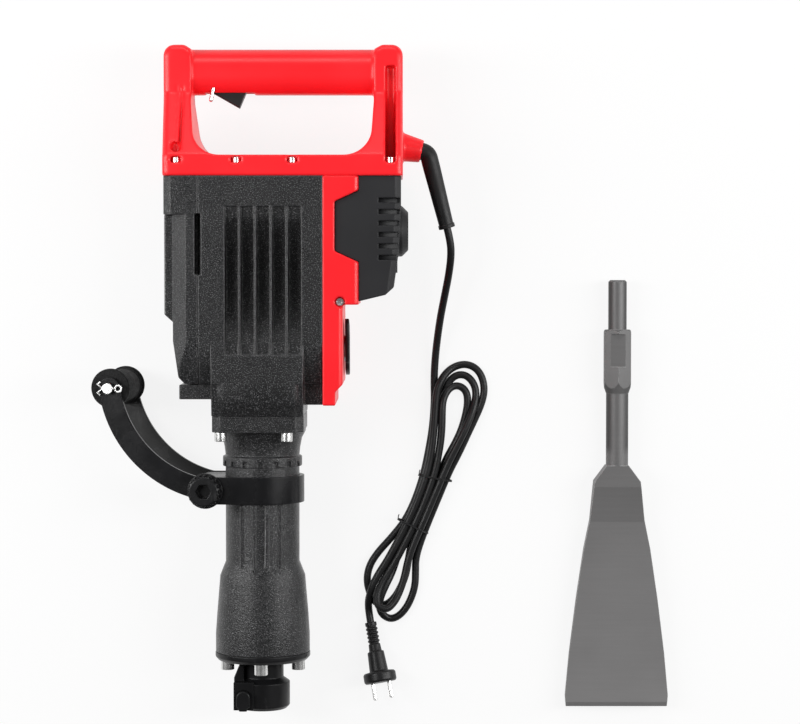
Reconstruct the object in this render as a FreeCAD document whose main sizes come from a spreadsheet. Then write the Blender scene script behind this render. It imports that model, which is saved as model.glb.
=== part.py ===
import FreeCAD, Part
import math
import os
import Sketcher
from FreeCAD import Placement, Rotation, Vector

# Electric jackhammer with its side handle, mains lead and flat chisel, lying on its back.
# Frame, in millimetres: the barrel axis runs along -Y at x = 0, the crank axis along X at
# y = 0, and the flat back of the gear case is z = 0. +Z points out of the tool's front.

doc = FreeCAD.newDocument("ElectricJackhammer")
sheet = doc.addObject("Spreadsheet::Sheet", "Sizes")
sub_parts = []


class Size:
    """A number together with the sheet expression that gives it."""

    def __init__(self, value, text):
        self.value = float(value)
        self.text = text

    def __add__(self, other):
        return Size(self.value + number(other), "(%s + %s)" % (self.text, words(other)))

    def __radd__(self, other):
        return Size(number(other) + self.value, "(%s + %s)" % (words(other), self.text))

    def __sub__(self, other):
        return Size(self.value - number(other), "(%s - %s)" % (self.text, words(other)))

    def __rsub__(self, other):
        return Size(number(other) - self.value, "(%s - %s)" % (words(other), self.text))

    def __mul__(self, other):
        return Size(self.value * number(other), "(%s * %s)" % (self.text, words(other)))

    __rmul__ = __mul__

    def __truediv__(self, other):
        return Size(self.value / number(other), "(%s / %s)" % (self.text, words(other)))

    def __neg__(self):
        return Size(-self.value, "(0 - %s)" % self.text)


def number(amount):
    return amount.value if isinstance(amount, Size) else float(amount)


def words(amount):
    return amount.text if isinstance(amount, Size) else "%.6f" % amount


def root(amount):
    return Size(math.sqrt(amount.value), "sqrt(%s)" % amount.text)


def size(name, value):
    """Writes one driving dimension into the sheet."""
    row = size.row
    sheet.set("A%d" % row, name.replace("_", " "))
    sheet.set("B%d" % row, str(value))
    sheet.setAlias("B%d" % row, name)
    size.row = row + 1
    return Size(value, "Sizes." + name)


size.row = 1

# ---------------------------------------------------------------- driving dimensions
# gear case
case_depth = size("case_depth", 140)
case_top = size("case_top", 169)
case_right = size("case_right", 69)
case_bottom = size("case_bottom", 57)
split_left = size("split_left", 66)
case_slope_start = size("case_slope_start", 12)
case_slope_depth = size("case_slope_depth", 16)
foot_reach = size("foot_reach", 88)
foot_drop = size("foot_drop", 17)
foot_depth = size("foot_depth", 100)
right_foot_drop = size("right_foot_drop", 23)
neck_left = size("neck_left", 52.4)
neck_right = size("neck_right", 47.8)
neck_end = size("neck_end", 92)
neck_inset = size("neck_inset", 10)
neck_slope_start = size("neck_slope_start", 28)
neck_bevel = size("neck_bevel", 9)
fin_count = 5
fin_left = size("fin_left", 38.2)
fin_pitch = size("fin_pitch", 17.1)
fin_thickness = size("fin_thickness", 3)
fin_top = size("fin_top", 136)
fin_bottom = size("fin_bottom", 25)
fin_step = size("fin_step", 5)
fin_dish = size("fin_dish", 15)
joint_slot_width = size("joint_slot_width", 6.4)
joint_slot_top = size("joint_slot_top", 128)
joint_slot_bottom = size("joint_slot_bottom", 62)
joint_slot_depth = size("joint_slot_depth", 12)
seat_gap = size("seat_gap", 0.05)
run_gap = size("run_gap", 0.1)
free_gap = size("free_gap", 0.4)

# crank drive and gears
crank_throw = size("crank_throw", 20)
rod_length = size("rod_length", 78)
crank_disc_radius = size("crank_disc_radius", 36)
crank_disc_width = size("crank_disc_width", 10)
crank_shaft_radius = size("crank_shaft_radius", 12)
crank_pin_radius = size("crank_pin_radius", 9)
rod_width = size("rod_width", 16)
rod_eye_radius = size("rod_eye_radius", 15)
rod_small_eye = size("rod_small_eye", 12)
gear_module = size("gear_module", 2)
second_module = size("second_module", 2.5)
pinion_teeth = 10
wheel_teeth = 40
second_pinion_teeth = 14
crank_wheel_teeth = 36
motor_height = size("motor_height", 105)
wheel_width = size("wheel_width", 14)
second_wheel_width = size("second_wheel_width", 16)
bearing_wall_left = size("bearing_wall_left", 42)
bearing_wall_right = size("bearing_wall_right", 28)
crank_bearing_radius = size("crank_bearing_radius", 21)
crank_outer_radius = size("crank_outer_radius", 14)
crank_tip_radius = size("crank_tip_radius", 6.5)
lay_bearing_radius = size("lay_bearing_radius", 13)
motor_bearing_radius = size("motor_bearing_radius", 16)
lay_shaft_radius = size("lay_shaft_radius", 7.5)
armature_shaft_radius = size("armature_shaft_radius", 7)
bearing_width = size("bearing_width", 10)
crank_chamber_gap = size("crank_chamber_gap", 10)
crank_chamber_right = size("crank_chamber_right", 22)
side_room_wall = size("side_room_wall", 8)

# cover on the gear side
cover_left = size("cover_left", 94.8)
cover_front_left = size("cover_front_left", 79.4)
cover_shoulder = size("cover_shoulder", 20)
cover_pad_left = size("cover_pad_left", 104.7)
cover_pad_top = size("cover_pad_top", 127)
cover_pad_bottom = size("cover_pad_bottom", 18.5)
cover_pad_depth = size("cover_pad_depth", 84)
cover_block_bottom = size("cover_block_bottom", 127)
cover_wall = size("cover_wall", 8)
cover_screw_radius = size("cover_screw_radius", 3)
cover_screw_length = size("cover_screw_length", 28)
cover_screw_head = size("cover_screw_head", 5)

# hammer train along the barrel, as distances from the crank axis
piston_radius = size("piston_radius", 23)
piston_length = size("piston_length", 50)
piston_crown = size("piston_crown", 34)
piston_hollow_radius = size("piston_hollow_radius", 17)
wrist_pin_radius = size("wrist_pin_radius", 6)
liner_wall = size("liner_wall", 5)
liner_start = size("liner_start", 41.5)
liner_end = size("liner_end", 250)
striker_start = size("striker_start", 172)
striker_length = size("striker_length", 64)
anvil_start = size("anvil_start", 238)
anvil_shank_radius = size("anvil_shank_radius", 15)
anvil_guide_radius = size("anvil_guide_radius", 20)
anvil_guide_start = size("anvil_guide_start", 266)
anvil_guide_end = size("anvil_guide_end", 296)
anvil_nose_radius = size("anvil_nose_radius", 14)
anvil_end = size("anvil_end", 334)
anvil_travel = size("anvil_travel", 8)

# barrel and front end
barrel_radius = size("barrel_radius", 41)
barrel_flange_end = size("barrel_flange_end", 110)
# the raised ring ends above the side handle's band and the ribs start below it
barrel_ring_start = size("barrel_ring_start", 36)
barrel_ring_end = size("barrel_ring_end", 25)
barrel_ring_height = size("barrel_ring_height", 3)
barrel_ring_notches = 16
barrel_rib_start = size("barrel_rib_start", 17)
barrel_rib_end = size("barrel_rib_end", 262)
barrel_rib_height = size("barrel_rib_height", 2.5)
bell_start = size("bell_start", 256)
bell_shoulder = size("bell_shoulder", 272)
bell_shoulder_radius = size("bell_shoulder_radius", 47.3)
bell_radius = size("bell_radius", 52.3)
bell_end = size("bell_end", 357)
holder_guide_radius = size("holder_guide_radius", 34)
plate_thickness = size("plate_thickness", 9)
plate_bolt_circle = size("plate_bolt_circle", 79)
plate_bolt_radius = size("plate_bolt_radius", 4)
plate_bolt_head_radius = size("plate_bolt_head_radius", 7.5)
plate_bolt_head_height = size("plate_bolt_head_height", 12)
plate_bolt_length = size("plate_bolt_length", 27)
neck_bolt_head_radius = size("neck_bolt_head_radius", 6.5)
neck_bolt_left = size("neck_bolt_left", 43)
neck_bolt_right = size("neck_bolt_right", 29)
# from the flange's front and back faces to the bolts
neck_bolt_offset = size("neck_bolt_offset", 10)
neck_bolt_radius = size("neck_bolt_radius", 4)
neck_bolt_length = size("neck_bolt_length", 40)
neck_bolt_head_height = size("neck_bolt_head_height", 10)
holder_neck_radius = size("holder_neck_radius", 23)
collar_start = size("collar_start", 388)
collar_radius = size("collar_radius", 30)
collar_end = size("collar_end", 421)
hex_across_flats = size("hex_across_flats", 30.4)
hex_depth = size("hex_depth", 69)
retainer_radius = size("retainer_radius", 7)
retainer_offset = size("retainer_offset", 20)
retainer_distance = size("retainer_distance", 404)
retainer_flat = size("retainer_flat", 2.2)
retainer_boss_half = size("retainer_boss_half", 30.5)
retainer_lever_half = size("retainer_lever_half", 7.5)
retainer_lever_length = size("retainer_lever_length", 15)
retainer_lever_thickness = size("retainer_lever_thickness", 8)

# motor and its housing
stator_radius = size("stator_radius", 44)
stator_bore = size("stator_bore", 26)
stator_left = size("stator_left", -8)
stator_length = size("stator_length", 62)
armature_radius = size("armature_radius", 25)
commutator_radius = size("commutator_radius", 15)
commutator_left = size("commutator_left", 62)
commutator_length = size("commutator_length", 24)
fan_left = size("fan_left", 92)
fan_width = size("fan_width", 14)
fan_radius = size("fan_radius", 40)
motor_shaft_end = size("motor_shaft_end", 134)
cap_seat_left = size("cap_seat_left", 120)
housing_right = size("housing_right", 108)
housing_step = size("housing_step", 29.4)
housing_low_right = size("housing_low_right", 90.8)
housing_low_end = size("housing_low_end", 80)
lobe_left = size("lobe_left", 82)
lobe_top = size("lobe_top", 153.3)
lobe_bottom = size("lobe_bottom", 75.5)
lobe_slant = size("lobe_slant", 12)
lobe_depth = size("lobe_depth", 10)
cap_right = size("cap_right", 154)
cap_low_right = size("cap_low_right", 146)
cap_bottom = size("cap_bottom", 40)
cap_inset = size("cap_inset", 4)
cap_wall = size("cap_wall", 5)
cap_seat_wall = size("cap_seat_wall", 6)
cap_boss_right = size("cap_boss_right", 162)
cap_boss_radius = size("cap_boss_radius", 28)
vent_count = 6
vent_pitch = size("vent_pitch", 12.4)
vent_height = size("vent_height", 5)
vent_left = size("vent_left", 129.6)
vent_first = size("vent_first", 78)
window_drop = size("window_drop", 19.5)
window_radius = size("window_radius", 14)
window_glass_radius = size("window_glass_radius", 10)

# top handle, trigger and lock pin
base_left = size("base_left", 104.5)
base_right = size("base_right", 156)
base_top = size("base_top", 191.6)
handle_top = size("handle_top", 314.5)
tower_left = size("tower_left", 107)
tower_inner_left = size("tower_inner_left", 76)
tower_inner_right = size("tower_inner_right", 124)
tower_depth = size("tower_depth", 50)
tower_corner = size("tower_corner", 12)
handle_rounding = size("handle_rounding", 7)
tower_slope_end = size("tower_slope_end", 262)
grip_top = size("grip_top", 310.5)
grip_bottom = size("grip_bottom", 260)
grip_depth = size("grip_depth", 44)
opening_corner = size("opening_corner", 30)
opening_left = size("opening_left", 70)
opening_right = size("opening_right", 120)
handle_wall = size("handle_wall", 7)
boss_height = size("boss_height", 204)
boss_length = size("boss_length", 22)
boss_root_radius = size("boss_root_radius", 16.5)
boss_end_radius = size("boss_end_radius", 12.5)
boss_tilt = size("boss_tilt", 12)
trigger_pivot_left = size("trigger_pivot_left", 52)
# the pivot's height above the grip's underside, and the tip's below the pivot
trigger_pivot_height = size("trigger_pivot_height", 8)
trigger_tip_left = size("trigger_tip_left", 24.5)
trigger_tip_height = size("trigger_tip_height", 22.5)
trigger_heel_left = size("trigger_heel_left", 17)
trigger_width = size("trigger_width", 15)
trigger_eye_radius = size("trigger_eye_radius", 5)
trigger_pin_radius = size("trigger_pin_radius", 2)
lock_pin_radius = size("lock_pin_radius", 2.2)
lock_pin_lift = size("lock_pin_lift", 13)
lock_pin_lean = size("lock_pin_lean", 12)
lock_pin_drop = size("lock_pin_drop", 6)
lock_pin_length = size("lock_pin_length", 26)
trigger_pin_length = size("trigger_pin_length", 20)
handle_screw_radius = size("handle_screw_radius", 5)
handle_screw_seat = size("handle_screw_seat", 183)
handle_shank_radius = size("handle_shank_radius", 3)
screw_inset = size("screw_inset", 9)
screw_head_height = size("screw_head_height", 6)

# side handle
swivel_drop = size("swivel_drop", 6)
strap_thickness = size("strap_thickness", 5)
strap_width = size("strap_width", 24)
strap_height = size("strap_height", 175)
arm_radius = size("arm_radius", 129.5)
arm_centre_left = size("arm_centre_left", 34.6)
arm_centre_drop = size("arm_centre_drop", 46)
grip_axis_left = size("grip_axis_left", 163)
grip_axis_drop = size("grip_axis_drop", 63)
clamp_left = size("clamp_left", 56)
clamp_bolt_radius = size("clamp_bolt_radius", 6)
clamp_head_radius = size("clamp_head_radius", 18)
clamp_head_height = size("clamp_head_height", 14)
clamp_socket_flats = size("clamp_socket_flats", 15)
clamp_nut_height = size("clamp_nut_height", 8)
side_pin_radius = size("side_pin_radius", 6)
side_grip_radius = size("side_grip_radius", 18)
side_grip_flange = size("side_grip_flange", 21.5)

# mains lead
guard_radius = size("guard_radius", 9.6)
guard_seat = size("guard_seat", 7)
cord_diameter = size("cord_diameter", 8.5)
hank_height = size("hank_height", 24)
plug_flange_radius = size("plug_flange_radius", 18.5)
plug_pin_radius = size("plug_pin_radius", 2.4)
plug_pin_length = size("plug_pin_length", 19)
plug_pin_spacing = size("plug_pin_spacing", 19)

# flat chisel beside the tool
chisel_axis = size("chisel_axis", 399)
chisel_top = size("chisel_top", 55.8)
spigot_radius = size("spigot_radius", 10.4)
spigot_length = size("spigot_length", 56)
chisel_flats = size("chisel_flats", 29.6)
chisel_hex_length = size("chisel_hex_length", 60)
chisel_taper = size("chisel_taper", 12)
chisel_neck_radius = size("chisel_neck_radius", 12.6)
chisel_shoulder = size("chisel_shoulder", 172)
chisel_shoulder_half = size("chisel_shoulder_half", 26)
chisel_edge = size("chisel_edge", 429)
chisel_edge_half = size("chisel_edge_half", 58.5)
chisel_notch_length = size("chisel_notch_length", 37)
chisel_notch_depth = size("chisel_notch_depth", 5)
blade_thickness = size("blade_thickness", 12)
edge_thickness = size("edge_thickness", 5)

axis_height = case_depth / 2

# ---------------------------------------------------------------- ways of building

ALONG = {
    "+X": Rotation(Vector(0, 1, 0), 90),
    "-X": Rotation(Vector(0, 1, 0), -90),
    "+Y": Rotation(Vector(1, 0, 0), -90),
    "-Y": Rotation(Vector(1, 0, 0), 90),
    "+Z": Rotation(),
    "-Z": Rotation(Vector(1, 0, 0), 180),
}


def bind(item, path, amount):
    item.setExpression(path, words(amount))


def place(item, x, y, z, way="+Z"):
    """Puts the item's own origin at (x, y, z) with its own Z along the given way."""
    item.Placement = Placement(Vector(number(x), number(y), number(z)), ALONG[way])
    bind(item, ".Placement.Base.x", x)
    bind(item, ".Placement.Base.y", y)
    bind(item, ".Placement.Base.z", z)
    return item


def aim(item, base, rotation):
    """Puts an item on a slanted line instead of along one of the axes."""
    for letter in "xyz":
        item.setExpression(".Placement.Base." + letter, None)
    item.Placement = Placement(base, rotation)
    return item


def name_part(item, label):
    item.Label = label
    sub_parts.append(item)
    return item


def block(x_min, x_max, y_min, y_max, z_min, z_max):
    item = doc.addObject("Part::Box", "Block")
    bind(item, "Length", x_max - x_min)
    bind(item, "Width", y_max - y_min)
    bind(item, "Height", z_max - z_min)
    return place(item, x_min, y_min, z_min)


def rod(radius, length, x, y, z, way):
    item = doc.addObject("Part::Cylinder", "Rod")
    bind(item, "Radius", radius)
    bind(item, "Height", length)
    return place(item, x, y, z, way)


def cone(start_radius, end_radius, length, x, y, z, way):
    item = doc.addObject("Part::Cone", "Cone")
    bind(item, "Radius1", start_radius)
    bind(item, "Radius2", end_radius)
    bind(item, "Height", length)
    return place(item, x, y, z, way)


def hexagon(across_flats, length, x, y, z, way):
    """A six-sided prism with two of its corners on its own X axis."""
    item = doc.addObject("Part::Prism", "Hexagon")
    item.Polygon = 6
    bind(item, "Circumradius", across_flats / math.sqrt(3))
    bind(item, "Height", length)
    return place(item, x, y, z, way)


def fuse(*items):
    item = doc.addObject("Part::MultiFuse", "Fusion")
    item.Shapes = list(items)
    item.Refine = True
    return item


def cut(base, *tools):
    item = doc.addObject("Part::Cut", "Cut")
    item.Base = base
    item.Tool = tools[0] if len(tools) == 1 else fuse(*tools)
    item.Refine = True
    return item


def common(first, second):
    item = doc.addObject("Part::Common", "Common")
    item.Base = first
    item.Tool = second
    item.Refine = True
    return item


def new_body(label):
    return name_part(doc.addObject("PartDesign::Body", "Body"), label)


def sketch_on(body, role, lift=0.0):
    """A sketch on one of the body's origin planes, lifted along the plane's normal."""
    plane = [item for item in body.Origin.OriginFeatures if item.Role == role][0]
    sketch = body.newObject("Sketcher::SketchObject", "Sketch")
    sketch.AttachmentSupport = (plane, [""])
    sketch.MapMode = "FlatFace"
    bind(sketch, ".AttachmentOffset.Base.z", lift)
    return sketch


def polygon(sketch, corners):
    """A closed outline whose every corner is dimensioned from the sketch's origin."""
    places = [Vector(number(x), number(y), 0) for x, y in corners]
    lines = []
    for index, start in enumerate(places):
        end = places[(index + 1) % len(places)]
        lines.append(sketch.addGeometry(Part.LineSegment(start, end), False))
    for index, line in enumerate(lines):
        following = lines[(index + 1) % len(lines)]
        sketch.addConstraint(Sketcher.Constraint("Coincident", line, 2, following, 1))
    for line, (x, y) in zip(lines, corners):
        for kind, amount in (("DistanceX", x), ("DistanceY", y)):
            rule = Sketcher.Constraint(kind, -1, 1, line, 1, number(amount))
            bind(sketch, "Constraints[%d]" % sketch.addConstraint(rule), amount)
    return sketch


def rectangle(sketch, x_min, x_max, y_min, y_max):
    return polygon(sketch, [(x_min, y_min), (x_max, y_min), (x_max, y_max), (x_min, y_max)])


def circle(sketch, x, y, radius):
    centre = Vector(number(x), number(y), 0)
    ring = sketch.addGeometry(Part.Circle(centre, Vector(0, 0, 1), number(radius)), False)
    rules = (
        (Sketcher.Constraint("DistanceX", -1, 1, ring, 3, number(x)), x),
        (Sketcher.Constraint("DistanceY", -1, 1, ring, 3, number(y)), y),
        (Sketcher.Constraint("Radius", ring, number(radius)), radius),
    )
    for rule, amount in rules:
        bind(sketch, "Constraints[%d]" % sketch.addConstraint(rule), amount)
    return sketch


def grown(body, feature, sign):
    """Recomputes and makes sure that the feature added (1) or removed (-1) material."""
    before = feature.BaseFeature.Shape.Volume if feature.BaseFeature else 0.0
    body.Tip = feature
    doc.recompute()
    if (feature.Shape.Volume - before) * sign <= 0:
        raise ValueError("%s in %s changed nothing" % (feature.Name, body.Label))
    return feature


def pad(body, sketch, length, reverse=False):
    feature = body.newObject("PartDesign::Pad", "Pad")
    feature.Profile = sketch
    bind(feature, "Length", length)
    feature.Reversed = reverse
    return grown(body, feature, 1)


def pocket(body, sketch, length, reverse=False):
    """Cuts against the sketch's normal, or along it when reversed."""
    feature = body.newObject("PartDesign::Pocket", "Pocket")
    feature.Profile = sketch
    bind(feature, "Length", length)
    feature.Reversed = reverse
    return grown(body, feature, -1)


def turn(body, corners, radial_role="XZ_Plane"):
    """Turns an outline of (radius, distance) corners about the body's own Z axis."""
    sketch = polygon(sketch_on(body, radial_role), corners)
    feature = body.newObject("PartDesign::Revolution", "Revolution")
    feature.Profile = sketch
    feature.ReferenceAxis = (sketch, ["V_Axis"])
    feature.Angle = 360
    return grown(body, feature, 1)


def groove(body, corners):
    sketch = polygon(sketch_on(body, "XZ_Plane"), corners)
    feature = body.newObject("PartDesign::Groove", "Groove")
    feature.Profile = sketch
    feature.ReferenceAxis = (sketch, ["V_Axis"])
    feature.Angle = 360
    return grown(body, feature, -1)


def origin_axis(body, role):
    axis = [item for item in body.Origin.OriginFeatures if item.Role == role][0]
    return (axis, [""])


def repeat_round(body, features, count):
    pattern = body.newObject("PartDesign::PolarPattern", "PolarPattern")
    pattern.Originals = features
    pattern.Axis = origin_axis(body, "Z_Axis")
    pattern.Angle = 360
    pattern.Occurrences = count
    body.Tip = pattern
    doc.recompute()
    return pattern


def repeat_along(body, features, role, length, count, reverse=False):
    pattern = body.newObject("PartDesign::LinearPattern", "LinearPattern")
    pattern.Originals = features
    pattern.Direction = origin_axis(body, role)
    pattern.Reversed = reverse
    bind(pattern, "Length", length)
    pattern.Occurrences = count
    body.Tip = pattern
    doc.recompute()
    return pattern


def edges_through(body, places, slack=0.02):
    """Names of the tip's edges that pass through any of the given places."""
    found = []
    for index, edge in enumerate(body.Tip.Shape.Edges):
        for where in places:
            if edge.distToShape(Part.Vertex(where))[0] < slack:
                found.append("Edge%d" % (index + 1))
                break
    return found


def dress(body, kind, value_name, amount, places):
    base = body.Tip
    names = edges_through(body, places)
    feature = body.newObject("PartDesign::" + kind, kind)
    feature.Base = (base, names)
    bind(feature, value_name, amount)
    body.Tip = feature
    doc.recompute()
    return feature


def round_edges(body, radius, places):
    return dress(body, "Fillet", "Radius", radius, places)


def bevel_edges(body, amount, places):
    return dress(body, "Chamfer", "Size", amount, places)


def at(x, y, z):
    return Vector(number(x), number(y), number(z))


def loose_body():
    """A body that only lends its shape to a named sub-part."""
    return doc.addObject("PartDesign::Body", "Shaping")


def group(items, label):
    item = doc.addObject("Part::Compound", "Group")
    item.Links = items
    return name_part(item, label)


def from_shape(shape, label, placement=None):
    item = doc.addObject("Part::Feature", "Shape")
    item.Shape = shape
    if placement:
        item.Placement = placement
    return name_part(item, label)


# ---------------------------------------------------------------- shared derived sizes

pinion_radius = gear_module * (pinion_teeth / 2)
wheel_radius = gear_module * (wheel_teeth / 2)
second_pinion_radius = second_module * (second_pinion_teeth / 2)
crank_wheel_radius = second_module * (crank_wheel_teeth / 2)
first_centres = pinion_radius + wheel_radius
second_centres = second_pinion_radius + crank_wheel_radius
# the layshaft closes the triangle of the motor, lay and crank axes, set back from the front
lay_height = (second_centres * second_centres - first_centres * first_centres
              + motor_height * motor_height) / (2 * motor_height)
lay_set_back = root(second_centres * second_centres - lay_height * lay_height)
lay_depth = axis_height - lay_set_back

liner_bore = piston_radius + run_gap
liner_radius = liner_bore + liner_wall
barrel_bore = liner_radius + seat_gap
holder_bore = holder_guide_radius + seat_gap
motor_bore = stator_radius + seat_gap
piston_pin = rod_length - crank_throw
piston_start = piston_pin + piston_crown - piston_length
plate_end = bell_end + plate_thickness
hex_corner = hex_across_flats / math.sqrt(3)
ring_start = strap_height - barrel_ring_start
ring_end = strap_height - barrel_ring_end
rib_start = strap_height + barrel_rib_start
motor_bearing_left = 32
motor_bore_left = 22
chamber_front = 16
chamber_back = 5
chamber_top = 14
wheel_left = split_left + 12
second_wheel_left = 60
cover_screw_seat = 80
handle_screw_places = (-89.5, -24.4, 36.3, 142.5)
handle_screw_engagement = 6
cover_screw_places = [
    (case_top - 7, case_depth - 22),
    (case_top - 7, 14),
    (-case_bottom + 9, case_depth - 27),
    (-case_bottom + 9, 27),
]
neck_bolt_rise = axis_height - neck_inset - neck_bolt_offset
neck_bolt_places = [
    (-neck_bolt_left, neck_bolt_rise),
    (neck_bolt_right, neck_bolt_rise),
    (neck_bolt_right, -neck_bolt_rise),
    (-neck_bolt_left, -neck_bolt_rise),
]


def slope_outlines(sketch):
    """Front and back wedges that thin the case below the crank, in (y, z)."""
    far = case_bottom + 2
    for face, inward in ((case_depth, -case_slope_depth), (case_depth * 0, case_slope_depth)):
        outside = face - inward * 0.1
        polygon(sketch, [
            (-case_slope_start, face),
            (-far, face + inward),
            (-far, outside),
            (-case_slope_start, outside),
        ])
    return sketch


def drill_for_handle_screws(body, places):
    """Blind holes in the top face for the screws that hold the handle down."""
    holes = sketch_on(body, "XZ_Plane", -case_top)
    for x in places:
        circle(holes, x, case_depth - screw_inset, handle_shank_radius + seat_gap)
    pocket(body, holes, handle_screw_engagement + 2, True)


def gear_chamber_outline(sketch):
    front = case_depth - chamber_front
    return polygon(sketch, [
        (case_top - chamber_top, chamber_back),
        (case_top - chamber_top, front),
        (-15, front),
        (-case_bottom + 7, front - 24),
        (-case_bottom + 7, 40),
        (-15, 16),
        (15, chamber_back),
    ])


def make_gear_case():
    body = new_body("gear_case")
    main = rectangle(sketch_on(body, "XY_Plane"), -split_left, case_right, -case_bottom, case_top)
    pad(body, main, case_depth)
    neck = polygon(sketch_on(body, "YZ_Plane", -neck_left), [
        (20, 0),
        (20, case_depth),
        (-neck_slope_start, case_depth),
        (-neck_end, case_depth - neck_inset),
        (-neck_end, neck_inset),
        (-neck_slope_start, 0),
    ])
    pad(body, neck, neck_left + neck_right)
    for start, reach, rightward in ((-neck_left, split_left - neck_left + 1, False),
                                    (neck_right, case_right, True)):
        wedge = slope_outlines(sketch_on(body, "YZ_Plane", start))
        pocket(body, wedge, reach, rightward)
    foot_start = (case_depth - foot_depth) / 2
    left_foot = polygon(sketch_on(body, "XY_Plane", foot_start), [
        (-foot_reach, -case_bottom - 1),
        (-foot_reach, -case_bottom - foot_drop),
        (-neck_left + 2, -case_bottom - foot_drop),
        (-neck_left + 2, -case_bottom + 7),
        (-split_left, -case_bottom + 7),
        (-split_left, -case_bottom - 1),
    ])
    pad(body, left_foot, foot_depth)
    right_foot = rectangle(sketch_on(body, "XY_Plane", foot_start), neck_right - 8, case_right,
                           -case_bottom - right_foot_drop, -case_bottom + 7)
    pad(body, right_foot, foot_depth)
    cut_fin_slots(body)
    joint_slot = rectangle(sketch_on(body, "XY_Plane", case_depth), -split_left - 1,
                           -split_left + joint_slot_width / 2, joint_slot_bottom, joint_slot_top)
    pocket(body, joint_slot, joint_slot_depth)
    hollow_gear_case(body)
    drill_for_handle_screws(body, handle_screw_places[1:3])
    return body


def cut_fin_slots(body):
    """Five upright slots between four thin ribs, deepest in the middle of their height."""
    slot_left = -fin_left + fin_thickness / 2
    slot_width = fin_pitch - fin_thickness
    middle = (fin_top - fin_bottom) / 2
    half = (fin_top + fin_bottom) / 2
    deepest = fin_step + fin_dish
    dish_radius = (half * half + deepest * deepest) / (2 * deepest)
    step = rectangle(sketch_on(body, "XY_Plane", case_depth), slot_left, slot_left + slot_width,
                     -fin_bottom, fin_top)
    step_cut = pocket(body, step, fin_step)
    dish = circle(sketch_on(body, "YZ_Plane", slot_left), middle,
                  case_depth - deepest + dish_radius, dish_radius)
    dish_cut = pocket(body, dish, slot_width, True)
    repeat_along(body, [step_cut, dish_cut], "X_Axis", fin_pitch * (fin_count - 1), fin_count)


def hollow_gear_case(body):
    pocket(body, gear_chamber_outline(sketch_on(body, "YZ_Plane", -split_left)),
           split_left - bearing_wall_left, True)
    crank_chamber = circle(sketch_on(body, "YZ_Plane", crank_chamber_right), 0, axis_height,
                           crank_disc_radius + crank_chamber_gap)
    pocket(body, crank_chamber, crank_chamber_right + bearing_wall_right)
    wall = bearing_wall_left - bearing_wall_right
    crank_seat = circle(sketch_on(body, "YZ_Plane", -bearing_wall_left), 0, axis_height,
                        crank_bearing_radius + seat_gap)
    pocket(body, crank_seat, wall, True)
    lay_seat = circle(sketch_on(body, "YZ_Plane", -bearing_wall_left), lay_height, lay_depth,
                      lay_bearing_radius + seat_gap)
    pocket(body, lay_seat, bearing_width, True)
    bore = circle(sketch_on(body, "YZ_Plane", case_right), motor_height, axis_height, motor_bore)
    pocket(body, bore, case_right + motor_bore_left)
    motor_seat = circle(sketch_on(body, "YZ_Plane", -motor_bore_left), motor_height, axis_height,
                        motor_bearing_radius + seat_gap)
    pocket(body, motor_seat, bearing_width)
    shaft_hole = circle(sketch_on(body, "YZ_Plane", -motor_bore_left), motor_height, axis_height,
                        armature_shaft_radius + 1)
    pocket(body, shaft_hole, bearing_wall_left)
    side_room = rectangle(sketch_on(body, "YZ_Plane", case_right), -case_bottom + side_room_wall,
                          motor_height - motor_bore - side_room_wall, 2 * side_room_wall,
                          case_depth - fin_step - fin_dish - side_room_wall)
    pocket(body, side_room, case_right - crank_chamber_right - side_room_wall)
    barrel_seat = circle(sketch_on(body, "XZ_Plane", neck_end), 0, axis_height, barrel_bore)
    pocket(body, barrel_seat, neck_end - crank_disc_radius + 6)
    bolt_holes = sketch_on(body, "XZ_Plane", neck_end)
    for x, offset in neck_bolt_places:
        circle(bolt_holes, x, axis_height + offset, neck_bolt_radius + seat_gap)
    pocket(body, bolt_holes, 26)
    screw_holes = sketch_on(body, "YZ_Plane", -split_left)
    for y, z in cover_screw_places:
        circle(screw_holes, y, z, cover_screw_radius + seat_gap)
    pocket(body, screw_holes, 16, True)


def make_gear_cover():
    body = new_body("gear_cover")
    main = polygon(sketch_on(body, "XZ_Plane", case_bottom), [
        (-split_left, 0),
        (-split_left, case_depth),
        (-cover_front_left, case_depth),
        (-cover_left, case_depth - cover_shoulder),
        (-cover_left, 8),
        (-cover_left + 7, 0),
    ])
    pad(body, main, case_bottom + case_top, True)
    block_left = cover_pad_left - 1.2
    upper = polygon(sketch_on(body, "XZ_Plane", -cover_block_bottom), [
        (-split_left, 0),
        (-split_left, case_depth),
        (-block_left + 8, case_depth),
        (-block_left, case_depth - 8),
        (-block_left, 8),
        (-block_left + 8, 0),
    ])
    pad(body, upper, case_top - cover_block_bottom, True)
    side_pad = polygon(sketch_on(body, "XY_Plane", (case_depth - cover_pad_depth) / 2), [
        (-cover_left + 4, cover_pad_bottom - 9),
        (-cover_left, cover_pad_bottom - 9),
        (-cover_pad_left, cover_pad_bottom),
        (-cover_pad_left, cover_pad_top),
        (-cover_left + 4, cover_pad_top),
    ])
    pad(body, side_pad, cover_pad_depth)
    taper = polygon(sketch_on(body, "XY_Plane", case_depth + 1), [
        (-cover_left - 2, -10),
        (-cover_left, -10),
        (-cover_left + 6.7, -case_bottom + 7),
        (-cover_left + 14, -case_bottom - 1),
        (-cover_left - 2, -case_bottom - 1),
    ])
    pocket(body, taper, case_depth + 2)
    pocket(body, slope_outlines(sketch_on(body, "YZ_Plane", -split_left + 1)), 45)
    joint_slot = rectangle(sketch_on(body, "XY_Plane", case_depth),
                           -split_left - joint_slot_width / 2, -split_left + 1,
                           joint_slot_bottom, joint_slot_top)
    pocket(body, joint_slot, joint_slot_depth)
    hollow_gear_cover(body)
    drill_for_handle_screws(body, handle_screw_places[:1])
    return body


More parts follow.
